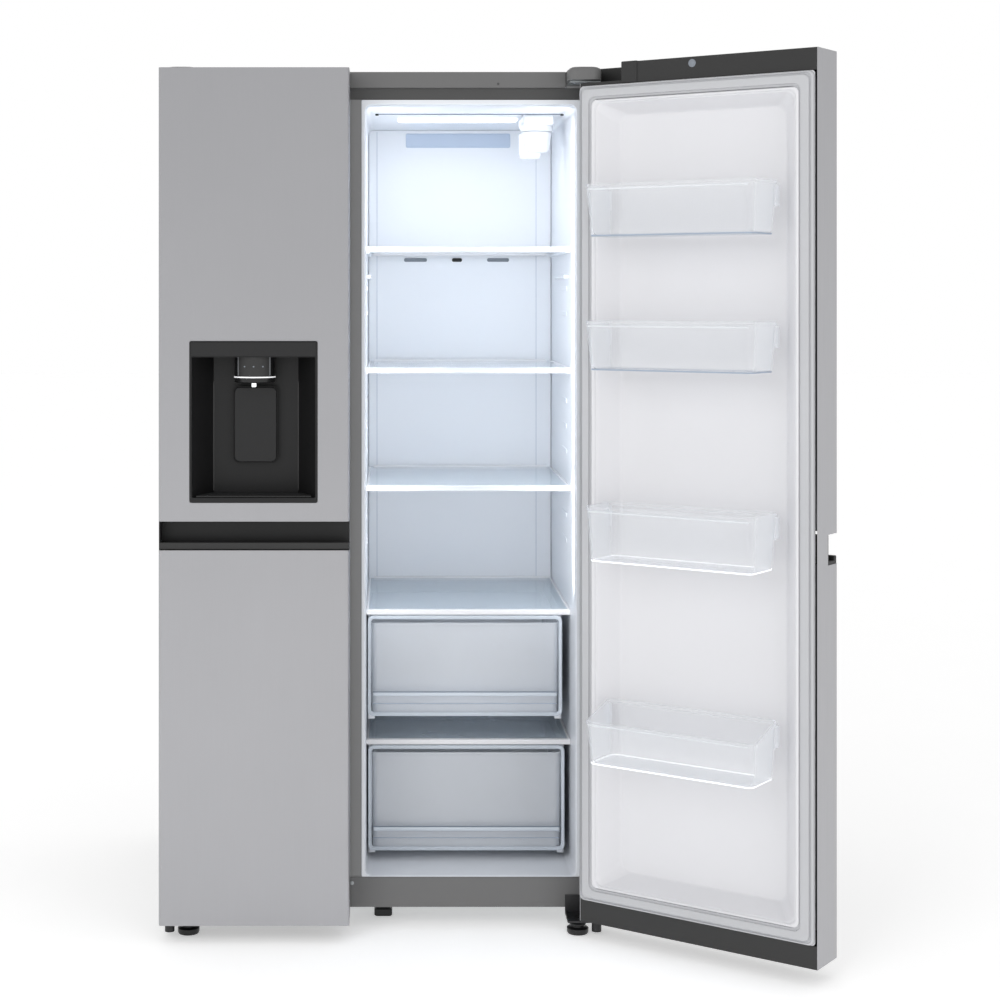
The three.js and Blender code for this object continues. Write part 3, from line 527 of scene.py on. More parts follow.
def make_crisper_carriers(cover, crisper):
    """Side plates and runners under a cover, which carry its crisper."""
    low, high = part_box(cover)
    tub_low, tub_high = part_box(crisper)
    top = high.z - 0.009
    runner_top = tub_low.z - CLEARANCE
    y0, y1 = low.y + 0.016, tub_high.y - 0.004
    for side, wall, inward in (("left", tub_low.x + 0.004, 1), ("right", tub_high.x - 0.004, -1)):
        near = wall - inward * 0.0004
        far = near - inward * 0.0032
        under = wall + inward * 0.011
        plate = bar((min(near, far), y0, runner_top - 0.009), (max(near, far), y1, top), 0.001)
        runner = bar((min(far, under), y0, runner_top - 0.009), (max(far, under), y1, runner_top), 0.0015)
        add(f"{cover}_carrier_{side}", merged(plate, runner), "shelf_glass", "cabinet", look="white_liner")


def make_drawer(node, body):
    """A clear drawer: tub, framed front with a grip rail, and ribs along its floor."""
    low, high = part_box(node)
    face_front = low.y + 0.008
    add(f"{node}_tub", tub(
        low.x + 0.004, high.x - 0.004, face_front + 0.006, high.y, low.z + 0.0004, high.z - 0.016, 0.014,
        draft=0.003), "clear_plastic", body, [node], "crisper_plastic")

    def face(y, inset, radius):
        return ring(low.x + inset, high.x - inset, low.z + inset, high.z - inset, radius, upright(y))
    add(f"{node}_face_frame", loft([
        face(face_front + 0.0012, 0.0, 0.012), face(face_front, 0.0012, 0.011),
        face(face_front, 0.0058, 0.008), face(face_front + 0.0016, 0.0072, 0.007),
        face(face_front + 0.0062, 0.0072, 0.007), face(face_front + 0.0078, 0.0058, 0.008),
        face(face_front + 0.0078, 0.0012, 0.011), face(face_front + 0.0066, 0.0, 0.012),
    ], closed=True), "clear_plastic", body, look="crisper_frame")
    section = [(0.0, 0.002), (0.002, 0.0), (0.0085, 0.0), (0.0085, 0.008), (0.002, 0.008), (0.0, 0.006)]
    rings = [[Vector((x, low.y + y, low.z + 0.044 + z)) for y, z in section]
             for x in (low.x + 0.012, high.x - 0.012)]
    add(f"{node}_grip_rail", loft(rings), "clear_plastic", body, look="crisper_frame")

    def front_line(name, start, depths, heights, look):
        """A thin line across the front. Depths run from start, heights from the drawer's lowest edge."""
        shape = bar((low.x + 0.010, start + depths[0], low.z + heights[0]),
                    (high.x - 0.010, start + depths[1], low.z + heights[1]), 0.0005)
        add(f"{node}_{name}", shape, "clear_plastic", body, look=look)
    front_line("grip_line", low.y, (0.0015, 0.004), (0.0515, 0.0535), "line_slate")
    front_line("sill", face_front, (0.0005, 0.0022), (0.0260, 0.0275), "line_grey")
    pitch = 0.06
    ribs = []
    for i in range(int((high.x - low.x - 0.05) / pitch)):
        x = low.x + 0.03 + i * pitch
        ribs.append(bar((x - 0.0012, face_front + 0.02, low.z + 0.0032),
                        (x + 0.0012, high.y - 0.02, low.z + 0.0052), 0.0006))
    add(f"{node}_floor_ribs", merged(*ribs), "clear_plastic", body)


def make_duct_cover(name, windows):
    """Back wall cover: one flush panel with a fine seam near each side, and an outlet for each window."""
    low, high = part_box(name)
    add(f"{name}_panel", bar(low, high, 0.0012), "white_liner", "cabinet", [name])
    for side, x in (("left", low.x + 0.0192), ("right", high.x - 0.0354)):
        add(f"{name}_seam_{side}", bar(
            (x - 0.0005, low.y - 0.0002, low.z + 0.004), (x + 0.0005, low.y + 0.001, high.z - 0.004), 0.0002),
            "white_liner", "cabinet", look="line_grey")
    for i, (a, b, z0, z1, look) in enumerate(windows):
        x0, x1 = low.x + a, low.x + b
        add(f"{name}_outlet_{i}", loft([
            ring(x0, x1, z0, z1, 0.004, upright(low.y + 0.0002)),
            ring(x0, x1, z0, z1, 0.004, upright(low.y - 0.0012)),
            ring(x0 + 0.002, x1 - 0.002, z0 + 0.002, z1 - 0.002, 0.003, upright(low.y - 0.0014)),
            ring(x0 + 0.003, x1 - 0.003, z0 + 0.003, z1 - 0.003, 0.003, upright(low.y - 0.0003)),
        ]), "white_liner", "cabinet", look=look)


def make_ceiling():
    low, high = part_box("ceiling_light")
    add("ceiling_light_lens", loft([
        ring(low.x, high.x, low.y, high.y, 0.012, level(high.z)),
        ring(low.x, high.x, low.y, high.y, 0.012, level(low.z + 0.0024)),
        ring(low.x + 0.003, high.x - 0.003, low.y + 0.003, high.y - 0.003, 0.010, level(low.z + 0.0008)),
        ring(low.x + 0.008, high.x - 0.008, low.y + 0.008, high.y - 0.008, 0.008, level(low.z)),
    ]), "lamp_lens", "cabinet", ["ceiling_light"])

    head_low, head_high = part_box("filter_head")
    filter_low, filter_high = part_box("water_filter")
    axis = Vector(joint_of("water_filter_twist")["pos_m"])
    bracket = bar((head_low.x + 0.002, head_low.y, head_high.z - 0.0215),
                  (head_high.x - 0.002, head_high.y, head_high.z), 0.006)
    collar_low = head_low.z - axis.z
    collar = lathe([(0.030, collar_low + 0.0002), (0.0355, collar_low + 0.001), (0.036, collar_low + 0.004),
                    (0.036, head_high.z - axis.z - 0.020)], axis)
    add("filter_head_body", merged(bracket, collar), "white_liner", "cabinet", ["filter_head"])
    top = filter_high.z - axis.z
    bottom = filter_low.z - axis.z
    shoulder = bottom + 0.015
    cartridge = lathe([(0.012, shoulder), (0.022, shoulder + 0.001), (0.0265, shoulder + 0.005),
                       (0.033, top - 0.006), (0.033, top - 0.001), (0.032, top)], axis)
    add("water_filter_cap", cartridge, "white_liner", "water_filter_body", ["water_filter"])
    bowl = lathe([(0.010, bottom), (0.020, bottom + 0.002), (0.0235, bottom + 0.008), (0.0245, top - 0.004)],
                 axis + Vector((-0.014, 0.010, 0)))
    add("water_filter_bowl", bowl, "white_liner", "water_filter_body", look="frame_plastic")


def make_front_seam():
    """Fine dark seam across the front of the ceiling, with a dot at each end."""
    low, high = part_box("fridge_duct_cover")
    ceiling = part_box("fridge_liner")[1].z - CEILING_DROP
    x0, x1 = low.x + 0.0213, high.x - 0.0108
    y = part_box("ceiling_light")[0].y - 0.1044
    seam = bar((x0, y, ceiling - 0.0018), (x1, y + 0.0020, ceiling + 0.0005), 0.0004)
    add("ceiling_seam", seam, "white_liner", "cabinet", look="line_slate")
    for side, x in (("left", x0), ("right", x1)):
        dot = lathe([(0.0030, -0.0040), (0.0038, -0.0034), (0.0038, 0.0004)], (x, y, ceiling), 20)
        add(f"ceiling_seam_dot_{side}", dot, "white_liner", "cabinet", look="black_plastic")


SHELVES = ("glass_shelf_top", "glass_shelf_middle", "glass_shelf_bottom", "crisper_cover_upper",
           "crisper_cover_lower", "freezer_shelf_upper", "freezer_shelf_lower")


def make_rooms():
    shelf_tops = {name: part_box(name)[1].z - SHELF_STOP for name in SHELVES}
    ledge_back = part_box("glass_shelf_top")[1].y - 0.008
    low_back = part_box("crisper_cover_lower")[1].y - 0.003
    make_liner("fridge_liner", [
        (shelf_tops["glass_shelf_top"], ledge_back, 0.007),
        (shelf_tops["glass_shelf_middle"], ledge_back, 0.007),
        (shelf_tops["glass_shelf_bottom"], ledge_back, 0.007),
        (shelf_tops["crisper_cover_upper"], ledge_back, 0.003),
        (shelf_tops["crisper_cover_lower"], low_back, 0.003),
    ])
    make_liner("freezer_liner", [
        (shelf_tops["freezer_shelf_upper"], ledge_back, 0.007),
        (shelf_tops["freezer_shelf_lower"], ledge_back, 0.007),
        (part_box("freezer_drawer")[0].z + 0.0061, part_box("freezer_drawer")[1].y, 0.018),
    ])
    for node in shelf_tops:
        make_shelf(node)
    make_crisper_carriers("crisper_cover_upper", "crisper_upper")
    make_crisper_carriers("crisper_cover_lower", "crisper_lower")
    make_drawer("crisper_upper", "crisper_upper_body")
    make_drawer("crisper_lower", "crisper_lower_body")
    make_drawer("freezer_drawer", "cabinet")
    outlet_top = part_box("fridge_duct_cover")[1].z
    shelf = shelf_tops["glass_shelf_top"]
    make_duct_cover("fridge_duct_cover", [
        (0.088, 0.337, outlet_top - 0.0417, outlet_top - 0.0077, "outlet"),
        (0.0836, 0.1385, shelf - 0.024, shelf - 0.015, "vent"),
        (0.198, 0.222, shelf - 0.024, shelf - 0.015, "black_plastic"),
        (0.2817, 0.3342, shelf - 0.024, shelf - 0.015, "vent"),
    ])
    make_duct_cover("freezer_duct_cover", [
        (0.069, 0.235, 1.600, 1.640, "outlet"), (0.069, 0.235, 1.180, 1.200, "vent"),
        (0.069, 0.235, 0.360, 0.400, "vent"),
    ])
    make_ceiling()
    make_front_seam()
    make_wall_rails()


PAD_HEIGHTS = (1.325, 1.270, 1.080, 1.025, 0.970, 0.830, 0.775)   # slots for shelves on the side walls
BRACKET_HEIGHT = 1.352


def make_wall_rails():
    """Low pads along each side wall for shelves at other heights, and the ledges under the top shelf."""
    low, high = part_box("fridge_liner")
    walls = (("left", low.x + FLANGE, 1), ("right", high.x - FLANGE, -1))
    for side, wall, inward in walls:
        x = sorted((wall, wall + inward * 0.0016))
        pads = [bar((x[0], low.y + 0.20, z), (x[1], low.y + 0.30, z + 0.010), 0.0007) for z in PAD_HEIGHTS]
        add(f"fridge_liner_pads_{side}", merged(*pads), "white_liner", "cabinet")
        x = sorted((wall, wall + inward * 0.010))
        ledge = bar((x[0], low.y + 0.16, BRACKET_HEIGHT), (x[1], low.y + 0.40, BRACKET_HEIGHT + 0.007), 0.002)
        add(f"fridge_liner_bracket_{side}", ledge, "white_liner", "cabinet")


# ---- Doors ----
def joint_of(name):
    return next(joint for joint in frame["joints"] if joint["name"] == name)


class Door:
    """A door drawn closed and then swung to its place. u runs from its hinge edge to its free edge."""

    def __init__(self, name, hand):
        joint = joint_of(f"{name}_hinge")
        pivot = Vector(joint["pos_m"])
        turn = Matrix.Rotation(radians(-joint["range_deg"][0]), 4, Vector(joint["axis"]))
        self.swing = Matrix.Translation(pivot) @ turn @ Matrix.Translation(-pivot)
        self.unswing = self.swing.inverted()
        self.name = name
        self.hand = hand
        self.pivot = pivot
        self.low, self.high = self.closed_box(f"{name}_skin")
        self.width = self.high.x - self.low.x
        self.back = self.high.y
        self.front = self.low.y

    def closed_box(self, node):
        points = [self.unswing @ v.co for v in frame["nodes"][node].data.vertices]
        low = Vector([min(p[i] for p in points) for i in range(3)])
        high = Vector([max(p[i] for p in points) for i in range(3)])
        return low, high

    def x(self, u):
        return self.high.x - u if self.hand > 0 else self.low.x + u

    def span(self, u0, u1):
        return sorted((self.x(u0), self.x(u1)))

    def put(self, piece, slot, nodes=(), look=None, body=None):
        return settle(piece, slot, body or self.name, nodes, look, self.swing)

    def add(self, name, shape, slot, nodes=(), look=None, body=None):
        return self.put(new_object(name, shape), slot, nodes, look, body)


def channel(door, z0, z1):
    """The bent sheet: front face, two round corners and two sides, open at the back."""
    def path(inset, radius):
        points = [(inset, door.back)]
        for centre_u, start in ((SKIN_RADIUS, 180), (door.width - SKIN_RADIUS, 270)):
            for i in range(CORNER_STEPS + 1):
                angle = radians(start + 90 * i / CORNER_STEPS)
                u = centre_u + radius * cos(angle)
                points.append((u, door.front + SKIN_RADIUS + radius * sin(angle)))
        return points + [(door.width - inset, door.back)]
    outer, inner = path(0.0, SKIN_RADIUS), path(SKIN, SKIN_RADIUS - SKIN)
    bm = bmesh.new()

    def row(points, z):
        return [bm.verts.new((door.x(u), y, z)) for u, y in points]
    outer_low, inner_low = row(outer, z0), row(inner, z0)
    outer_high, inner_high = row(outer, z1), row(inner, z1)
    around = (outer_low, outer_high, inner_high, inner_low, outer_low)
    for i in range(len(outer) - 1):
        for a, b in zip(around, around[1:]):
            bm.faces.new((a[i], a[i + 1], b[i + 1], b[i]))
    for i in (0, -1):
        bm.faces.new((outer_low[i], outer_high[i], inner_high[i], inner_low[i]))
    return bm


def make_skin(door):
    grip_low, grip_high = door.closed_box(f"{door.name}_grip")
    x0, x1 = door.span(-0.01, door.width + 0.01)
    notch = door.span(-0.01, NOTCH_WIDTH)
    cutters = [
        plain_box((x0, door.front - 0.01, grip_low.z - CLEARANCE),
                  (x1, grip_high.y + CLEARANCE, grip_high.z + CLEARANCE)),
        plain_box((notch[0], door.back - NOTCH_DEPTH, NOTCH_LOW),
                  (notch[1], door.back + 0.01, door.high.z + 0.01)),
    ]
    if door.name == "freezer_door":
        low, high = door.closed_box("dispenser_housing")
        hole = (low.x - CLEARANCE, high.x + CLEARANCE, low.z - CLEARANCE, high.z + CLEARANCE, 0.004)
        cutters.append(loft([ring(*hole, upright(y)) for y in (door.front - 0.01, door.front + 0.005)]))
    piece = carve(new_object(f"{door.name}_steel", channel(door, door.low.z, door.high.z)), *cutters)
    door.put(piece, "stainless_steel", [f"{door.name}_skin"])


def make_caps(door):
    for end in ("top", "bottom"):
        node = f"{door.name}_cap_{end}"
        bm = from_node(node, 0.0009, 2, door.unswing, 40)
        front = min(v.co.y for v in bm.verts)
        ends = [min(v.co.x for v in bm.verts), max(v.co.x for v in bm.verts)]
        for vert in bm.verts:
            for x, inward in ((ends[0], 1), (ends[1], -1)):
                across = (vert.co.x - x) * inward
                along = vert.co.y - front
                if along < CAP_ROUND and across < CAP_ROUND:
                    centre = Vector((x + inward * CAP_ROUND, front + CAP_ROUND))
                    arm = Vector((vert.co.x, vert.co.y)) - centre
                    if arm.length > CAP_ROUND:
                        arm = arm.normalized() * CAP_ROUND
                        vert.co.x, vert.co.y = centre.x + arm.x, centre.y + arm.y
        door.add(f"{node}_moulding", bm, "dark_plastic", [node])


TOWARD_CABINET = Matrix.Rotation(-pi / 2, 3, "X")     # turns a lathe's axis from up to the back
TOWARD_FRONT = Matrix.Rotation(pi / 2, 3, "X")


def make_cap_details(door):
    """On the inner side of the top cap: a round plug, and the raised block beside the hinge notch."""
    high = door.high.z
    plug = lathe([(0.0080, -0.001), (0.0080, 0.0006), (0.0070, 0.0012)],
                 (door.x(0.254), door.back, high - 0.013), 28, TOWARD_CABINET)
    door.add(f"{door.name}_cap_plug", plug, "dark_plastic", look="vent")
    x0, x1 = door.span(NOTCH_WIDTH, NOTCH_WIDTH + 0.036)
    block = bar((x0, door.back - 0.020, high - 0.043), (x1, door.back + 0.002, high + 0.001), 0.002)
    door.add(f"{door.name}_cap_block", block, "dark_plastic")


def make_gasket(door):
    node = f"{door.name}_gasket"
    low, high = door.closed_box(node)
    x0, x1 = low.x, high.x

    def loop(share, y, radius):
        inner = (BORDER, FREE_BORDER) if door.hand < 0 else (FREE_BORDER, BORDER)
        return ring(x0 + share * (inner[0] - 0.0015), x1 - share * (inner[1] - 0.0015),
                    low.z + share * 0.0285, high.z - share * 0.0285, radius, upright(y))
    back = door.back
    profile = [(0.0, back + 0.0004, 0.010), (0.02, back + 0.0050, 0.010), (0.06, back + 0.0066, 0.010),
               (0.12, back + 0.0072, 0.010), (0.16, back + 0.0040, 0.011), (0.24, back + 0.0040, 0.011),
               (0.28, back + 0.0088, 0.012), (0.36, back + 0.0096, 0.012), (0.72, back + 0.0096, 0.014),
               (0.80, back + 0.0090, 0.014), (0.84, back + 0.0052, 0.014), (0.96, back + 0.0050, 0.015),
               (0.985, back + 0.0040, 0.015), (0.985, back + 0.0004, 0.015)]
    door.add(f"{node}_seal", loft([loop(*step) for step in profile], closed=True), "gasket_vinyl", [node])


def recess_rings(door, low, high, z0, z1):
    """From the middle of a recess's back, up its leaning walls and over the rim."""
    back = door.back

    def at(inset, y, radius):
        side = min(inset, 0.049)
        return ring(low.x + side, high.x - side, z0 + inset * 0.68, z1 - inset * 0.68, radius, upright(y))
    bottom, top = back - RECESS, back + RIM
    return [
        at(0.049, bottom, 0.020), at(0.045, bottom + 0.0015, 0.022), at(0.040, bottom + 0.005, 0.024),
        at(0.014, back + 0.001, 0.018), at(0.0115, back + 0.004, 0.016), at(0.0095, back + 0.0045, 0.015),
        at(0.0075, back + 0.0085, 0.014), at(0.0055, top - 0.0003, 0.013), at(0.003, top, 0.012),
        at(0.001, top - 0.001, 0.012), at(0.0, top - 0.003, 0.012),
    ]


def make_fridge_door_liner(door):
    node = f"{door.name}_liner"
    low, high = door.closed_box(node)
    free, hinge = FREE_BORDER + 0.001, BORDER + 0.001
    x0, x1 = door.span(hinge, door.width - free)
    z0, z1 = low.z + 0.030, high.z - 0.030
    rim_low, rim_high = Vector((x0, 0, 0)), Vector((x1, 0, 0))
    rings = recess_rings(door, rim_low, rim_high, z0, z1)
    back = door.back
    rings += [
        ring(x0, x1, z0, z1, 0.012, upright(back - 0.0004)),
        ring(low.x, high.x, low.z, high.z, 0.006, upright(back - 0.0004)),
        ring(low.x, high.x, low.z, high.z, 0.006, upright(back - 0.003)),
        ring(x0, x1, z0, z1, 0.012, upright(back - 0.003)),
        ring(x0, x1, z0, z1, 0.012, upright(back - RECESS - WALL)),
    ]
    door.add(f"{node}_shell", loft(rings), "white_liner", [node], "door_liner")


def make_freezer_door_liner(door):
    node = f"{door.name}_liner"
    door.add(f"{node}_shell", from_node(node, 0.003, 3, door.unswing, 40), "white_liner", [node],
             "door_liner")


def make_grip(door):
    node = f"{door.name}_grip"
    low, high = door.closed_box(node)
    shape = from_node(node, 0.0008, 2, door.unswing, 40)
    door.add(f"{node}_channel", shape, "black_plastic", [node], "recess_plastic")
    lip = bar((low.x + 0.0006, low.y - 0.0012, low.z + 0.0002),
              (high.x - 0.0006, low.y + 0.0105, low.z + 0.0152), 0.0018)
    door.add(f"{node}_lip", lip, "dark_plastic")


def make_bin(door, node, body, tall_sides=False):
    low, high = door.closed_box(node)
    shape = tub(low.x, high.x, low.y, high.y, low.z, high.z, 0.016, draft=0.006, lip=0.0022, lip_height=0.007)
    piece = new_object(f"{node}_tub", shape)
    if tall_sides:
        for vert in piece.data.vertices:
            reach = (vert.co.y - low.y) / (high.y - low.y)
            if vert.co.z > low.z + 0.05:
                vert.co.z -= 0.026 * max(0.0, min(1.0, (reach - 0.25) / 0.6)) ** 1.5
    door.put(piece, "clear_plastic", [node], body=body)
    rail_z = high.z - (0.034 if tall_sides else 0.012)
    rail = bar((low.x + 0.012, high.y - 0.0024, rail_z),
               (high.x - 0.012, high.y - 0.0002, rail_z + 0.003), 0.0008)
    door.add(f"{node}_front_rail", rail, "clear_plastic", body=body, look="frame_plastic")

    def foot(inset, rise, radius):
        return ring(low.x + inset, high.x - inset, low.y + inset, high.y - inset, radius, level(low.z + rise))
    base = [foot(0.0098, 0.0002, 0.012), foot(0.0086, 0.0030, 0.013), foot(0.0115, 0.0030, 0.012),
            foot(0.0128, 0.0002, 0.011)]
    # The foot band is a painted highlight along the clear bin's foot: glowing white on most bins, and a
    # darker grey copy on bins 1 and 2
    line = "line_grey" if node in ("fridge_door_bin_1", "fridge_door_bin_2") else "painted_highlight_white"
    door.add(f"{node}_foot_line", loft(base, closed=True), "clear_plastic", body=body, look=line)
    for side, x in (("a", low.x), ("b", high.x - 0.004)):
        lug = bar((x, low.y + 0.004, high.z - 0.050), (x + 0.004, low.y + 0.022, high.z - 0.008), 0.0016)
        door.add(f"{node}_lug_{side}", lug, "clear_plastic", body=body, look="frame_plastic")


def arc_plate(middle, radii, heights, angles, steps=20):
    """A curved plate round a vertical axis. Angles run from the front, in degrees."""
    (r0, r1), (z0, z1), (a0, a1) = radii, heights, angles
    rings = []
    for i in range(steps + 1):
        turned = radians(a0 + (a1 - a0) * i / steps - 90)
        rings.append([Vector((middle.x + r * cos(turned), middle.y + r * sin(turned), z))
                      for r, z in ((r0, z0), (r1, z0), (r1, z1), (r0, z1))])
    return loft(rings)


def make_dispenser(door):
    low, high = door.closed_box("dispenser_housing")
    front = low.y
    back = high.y - WALL
    strip = 0.0312
    taper = 0.038

    def outline(inset, y, radius):
        return ring(low.x + inset, high.x - inset, low.z + inset, high.z - inset, radius, upright(y))

    def recess(side, y, floor=0.010):
        return ring(low.x + side, high.x - side, low.z + floor, high.z - strip, 0.003, upright(y))
    door.add("dispenser_housing_shell", loft([
        recess(0.0045 + taper, back), recess(0.0050, front + 0.004), recess(0.0045, front + 0.0010),
        outline(0.0030, front, 0.004), outline(0.0008, front, 0.004), outline(0.0, front + 0.0008, 0.0045),
        outline(0.0, front + 0.003, 0.0045), outline(0.004, front + 0.003, 0.004),
        outline(0.004, high.y, 0.004),
    ]), "black_plastic", ["dispenser_housing"], "recess_plastic")
    door.add("dispenser_control_strip", bar(
        (low.x + 0.0032, front - 0.0006, high.z - strip + 0.0004),
        (high.x - 0.0032, front + 0.004, high.z - 0.0028), 0.0008), "black_plastic", look="paddle_plastic")
    # Painted highlights: thin grey lines, in the shade grey, down the corners of the recess's back wall stand
    # in for light on those edges
    for side, x in (("left", low.x + 0.0045 + taper), ("right", high.x - 0.0045 - taper)):
        door.add(f"dispenser_corner_line_{side}", bar(
            (x - 0.0009, back - 0.0012, low.z + 0.018), (x + 0.0009, back + 0.0004, high.z - 0.085), 0.0004),
            "black_plastic", look="shadow_paint")
    door.add("dispenser_strip_edge", bar(
        (low.x + 0.005, front + 0.0005, high.z - strip - 0.0016),
        (high.x - 0.005, front + 0.004, high.z - strip + 0.0002), 0.0006), "black_plastic")
    tray_z = low.z + 0.0102
    slats = []
    for i in range(9):
        depth = 0.006 + 0.008 * i
        narrower = 0.18 * depth * 0.9
        slats.append(bar((low.x + 0.012 + narrower, front + depth, tray_z),
                         (high.x - 0.012 - narrower, front + depth + 0.004, tray_z + 0.004), 0.001))
    door.add("dispenser_tray_slats", merged(*slats), "black_plastic")

    nozzle_low, nozzle_high = door.closed_box("dispenser_nozzle")
    middle = Vector(((nozzle_low.x + nozzle_high.x) / 2, nozzle_low.y + 0.042, 0))
    drop = nozzle_low.z
    top = nozzle_high.z
    collar = lathe([(0.020, drop + 0.010), (0.026, drop + 0.0015), (0.028, drop), (0.040, drop),
                    (0.042, drop + 0.002), (0.042, top)], middle, 64)
    behind = plain_box((nozzle_low.x - 0.01, nozzle_high.y, drop - 0.01),
                       (nozzle_high.x + 0.01, nozzle_high.y + 0.05, top + 0.01))
    piece = carve(new_object("dispenser_nozzle_body", collar), behind)
    door.put(piece, "dark_plastic", ["dispenser_nozzle"], "black_plastic")
    # Painted highlight: a thin glowing white band round the collar stands in for the light caught there
    shine = arc_plate(middle, (0.0416, 0.0430), (drop + 0.0106, drop + 0.0130), (-85, 85), 40)
    door.add("dispenser_nozzle_ring_highlight", shine, "dark_plastic", look="painted_highlight_white")
    heights = (drop + 0.015, top - 0.001)
    face = arc_plate(middle, (0.0415, 0.0424), heights, (-47, 47))
    door.add("dispenser_nozzle_face", face, "dark_plastic")
    dots = [arc_plate(middle, (0.0420, 0.0428), (top - 0.022, top - 0.0195), (angle - 2, angle + 2), 3)
            for angle in (-26, 0, 26)]
    door.add("dispenser_nozzle_dots", merged(*dots), "dark_plastic", look="vent")
    # Painted highlights: lighter grey bands at each side of the nozzle's face stand in for light on its round
    # sides
    for side, angles in (("left", (-52, -47)), ("right", (47, 52))):
        band = arc_plate(middle, (0.0415, 0.0425), heights, angles, 4)
        door.add(f"dispenser_nozzle_band_{side}", band, "dark_plastic", look="back_steel")
    lamp_y = middle.y - 0.030
    lamp = bar((middle.x - 0.0045, lamp_y - 0.003, drop - 0.008),
               (middle.x + 0.0045, lamp_y + 0.003, drop + 0.001), 0.0015)
    door.add("dispenser_lamp", lamp, "dark_plastic", look="lamp_lens")

    low_p, high_p = door.closed_box("dispenser_paddle")

    def plate(inset, y, radius=0.010):
        return ring(low_p.x + inset, high_p.x - inset, low_p.z + inset, high_p.z - inset, radius, upright(y))
    face = low_p.y
    paddle = loft([
        plate(0.0020, high_p.y), plate(0.0020, face + 0.0022), plate(0.0030, face + 0.0006),
        plate(0.0045, face),
    ])
    door.add("dispenser_paddle_plate", paddle, "black_plastic", ["dispenser_paddle"],
             "paddle_plastic", "dispenser_paddle_body")
    # Painted shadow: a near-black ring behind the paddle's edge stands in for the shade in the groove round
    # the paddle
    rim = loft([
        plate(0.0022, high_p.y - 0.001), plate(0.0022, high_p.y - 0.0045), plate(0.0, high_p.y - 0.0045),
        plate(0.0, high_p.y - 0.001),
    ], closed=True)
    door.add("dispenser_paddle_groove_shadow", rim, "black_plastic", look="groove_shadow_black",
             body="dispenser_paddle_body")


def make_doors():
    fridge, freezer = Door("fridge_door", 1), Door("freezer_door", -1)
    for door in (fridge, freezer):
        make_skin(door)
        make_caps(door)
        make_gasket(door)
        make_grip(door)
    make_fridge_door_liner(fridge)
    make_freezer_door_liner(freezer)
    make_cap_details(fridge)
    for i in range(1, 5):
        make_bin(fridge, f"fridge_door_bin_{i}", f"fridge_door_bin_{i}_body", tall_sides=i == 4)
    make_bin(freezer, "freezer_door_bin", "freezer_door_bin_body")
    make_bin(freezer, "ice_bin", "ice_bin_body")
    make_dispenser(freezer)


# ---- Cabinet, base and machine room ----
def keep_node(node, slot, width, look=None):
    """A node whose shape is right: it keeps its mesh, and gets rounded edges and a better material."""
    shown = frame["nodes"][node]
    weld = shown.modifiers.new("weld", "WELD")
    weld.merge_threshold = 1e-5
    clean = shown.modifiers.new("clean", "DECIMATE")
    clean.decimate_type = "DISSOLVE"
    clean.angle_limit = radians(0.5)
    edges = shown.modifiers.new("edges", "BEVEL")
    edges.width = width
    edges.segments = 2
    edges.limit_method = "ANGLE"
    edges.angle_limit = radians(35)
    edges.harden_normals = True
    for i in range(len(shown.material_slots)):
        shown.material_slots[i].material = LOOKS[look or slot]
    if not shown.material_slots:
        shown.data.materials.append(LOOKS[look or slot])


def make_top_cover():
    """Trim strip along the cabinet's top edge, with a domed cover over each hinge."""
    low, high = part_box("top_cover")
    shell_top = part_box("cabinet_wrap")[1].z + CLEARANCE
    frame_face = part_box("front_frame")[0].y
    trim_top = shell_top + 0.0027
    trim_front = frame_face - TRIM_PROUD
    hinge_low, hinge_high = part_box("top_hinge_right")
    lump_x = (hinge_low.x - 0.003, hinge_high.x + 0.001)
    under = hinge_high.z - 0.0167
    strip = bar((-lump_x[0], trim_front, low.z), (lump_x[0], frame_face - 0.0003, trim_top), 0.0014)
    sill = bar((low.x, trim_front + 0.004, shell_top), (high.x, high.y, trim_top), 0.0012)
    add("top_cover_trim", merged(strip, sill), "dark_paint", "cabinet", ["top_cover"])
    for side, sign in (("left", -1), ("right", 1)):
        x0, x1 = sorted(sign * x for x in lump_x)

        def dome(inset, z, back):
            return ring(x0 + inset, x1 - inset, low.y + inset, back - inset, 0.017, level(z))
        near_frame = frame_face - CLEARANCE
        cover = loft([dome(0.0, under, near_frame), dome(0.0, high.z - 0.009, near_frame),
                      dome(0.002, high.z - 0.003, frame_face), dome(0.007, high.z, frame_face)])
        tail = bar((x0 + 0.002, frame_face - 0.022, shell_top), (x1 - 0.002, high.y - 0.004, high.z), 0.0025)
        add(f"top_cover_dome_{side}", merged(cover, tail), "dark_paint", "cabinet")


def make_cabinet_details():
    """Shadowed band under the trim, a small mark on the trim, and the base cover's screw."""
    frame_low, frame_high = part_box("front_frame")
    liner_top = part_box("fridge_liner")[1].z
    trim_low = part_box("top_cover")[0].z
    band = bar((frame_low.x + 0.002, frame_low.y - 0.0004, liner_top + CLEARANCE),
               (frame_high.x - 0.002, frame_low.y + 0.001, trim_low - CLEARANCE), 0.0003)
    add("front_frame_band", band, "dark_paint", "cabinet", look="shadow_paint")
    mark = lathe([(0.0026, 0.0), (0.0026, 0.0006), (0.0018, 0.0009)],
                 (0.239, frame_low.y - TRIM_PROUD, trim_low + 0.008), 20, TOWARD_FRONT)
    add("trim_mark", mark, "dark_paint", "cabinet", look="shadow_paint")
    base_low, base_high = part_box("base_cover")
    screw = lathe([(0.0042, 0.0), (0.0042, 0.0008), (0.0028, 0.0016)],
                  (-0.065, base_low.y, base_high.z - 0.012), 24, TOWARD_FRONT)
    add("base_cover_screw", screw, "dark_paint", "cabinet", look="galvanised_steel")


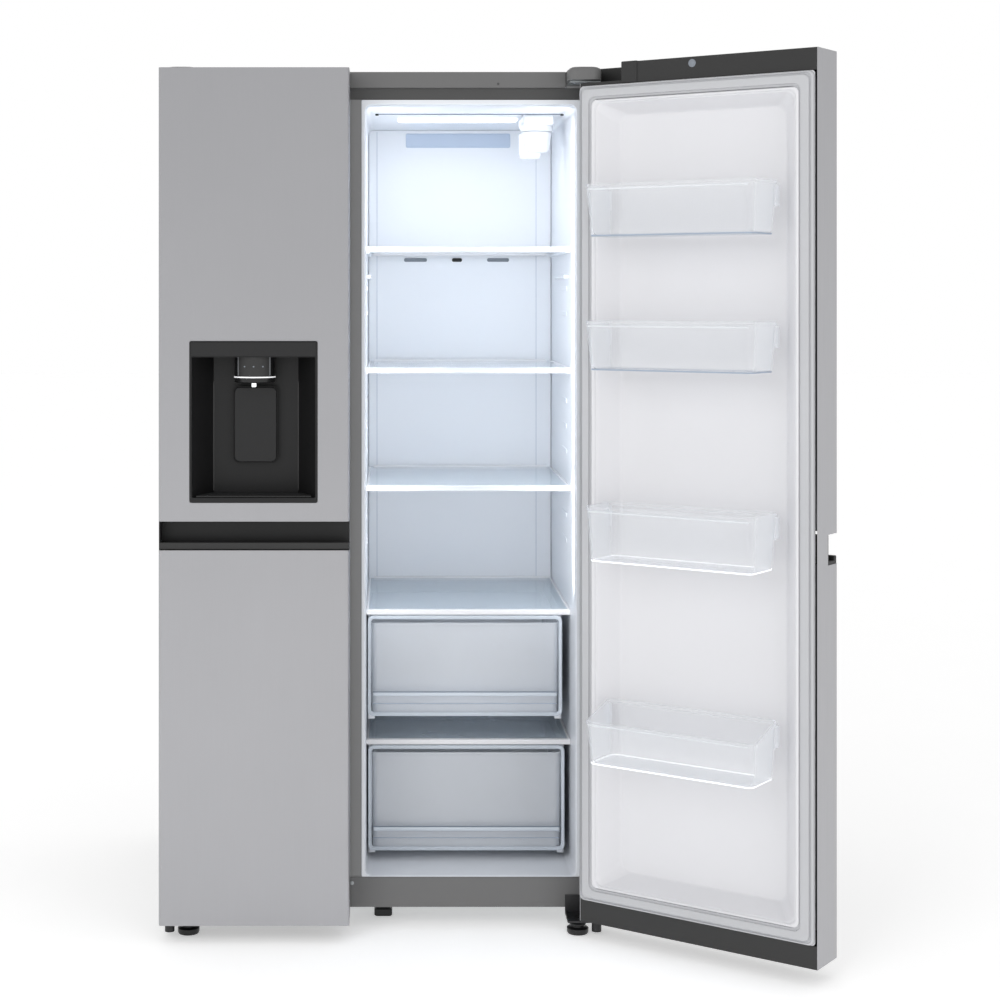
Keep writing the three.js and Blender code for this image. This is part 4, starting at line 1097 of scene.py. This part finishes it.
def make_cabinet():
    keep_node("cabinet_wrap", "dark_paint", 0.0006)
    # The front frame gets a lighter copy of the cabinet paint: painted light
    keep_node("front_frame", "dark_paint", 0.0005, "painted_light_frame_grey")
    keep_node("base_cover", "dark_paint", 0.0008)
    make_top_cover()
    make_cabinet_details()
    keep_node("back_panel", "back_steel", 0.0004)
    keep_node("rear_cover", "back_steel", 0.0006)
    keep_node("base_pan", "galvanised_steel", 0.0006)
    keep_node("cabinet_foam", "insulation_foam", 0.001)
    keep_node("condenser", "coil_metal", 0.001)
    keep_node("evaporator", "coil_metal", 0.001)
    keep_node("compressor", "black_paint", 0.004)
    keep_node("condenser_fan", "dark_plastic", 0.001)
    keep_node("ice_maker", "white_liner", 0.003)
    for side in ("left", "right"):
        keep_node(f"top_hinge_{side}", "galvanised_steel", 0.0008)
        keep_node(f"bottom_hinge_{side}", "black_paint", 0.0008)
        keep_node(f"rear_roller_{side}", "black_plastic", 0.0015)


def make_feet():
    for side in ("left", "right"):
        node = f"levelling_leg_{side}"
        low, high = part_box(node)
        middle = Vector(((low.x + high.x) / 2, (low.y + high.y) / 2, low.z))
        profile = [(0.018, 0.0), (0.0205, 0.0008), (0.0222, 0.004), (0.0225, 0.012), (0.0205, 0.0135),
                   (0.0150, 0.0150), (0.0140, 0.0180), (0.0170, 0.0195), (0.0170, 0.0218), (0.0060, 0.0222),
                   (0.0060, high.z - low.z)]
        add(f"{node}_foot", lathe(profile, middle, 48), "black_plastic", f"{node}_body", [node])
    low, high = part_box("centre_foot")

    def outline(inset, z):
        return ring(low.x + inset, high.x - inset, low.y + inset * 0.7, high.y - inset * 0.7, 0.005, level(z))
    add("centre_foot_block", loft([
        outline(0.003, low.z), outline(0.001, low.z + 0.002), outline(0.001, low.z + 0.014),
        outline(0.005, low.z + 0.017), outline(0.005, high.z - 0.012), outline(0.0, high.z - 0.009),
        outline(0.0, high.z),
    ]), "black_plastic", "cabinet", ["centre_foot"])


LOOKS = make_looks()
make_camera()
make_world()
make_floor()
make_lights()
make_cabinet()
make_feet()
make_rooms()
make_doors()
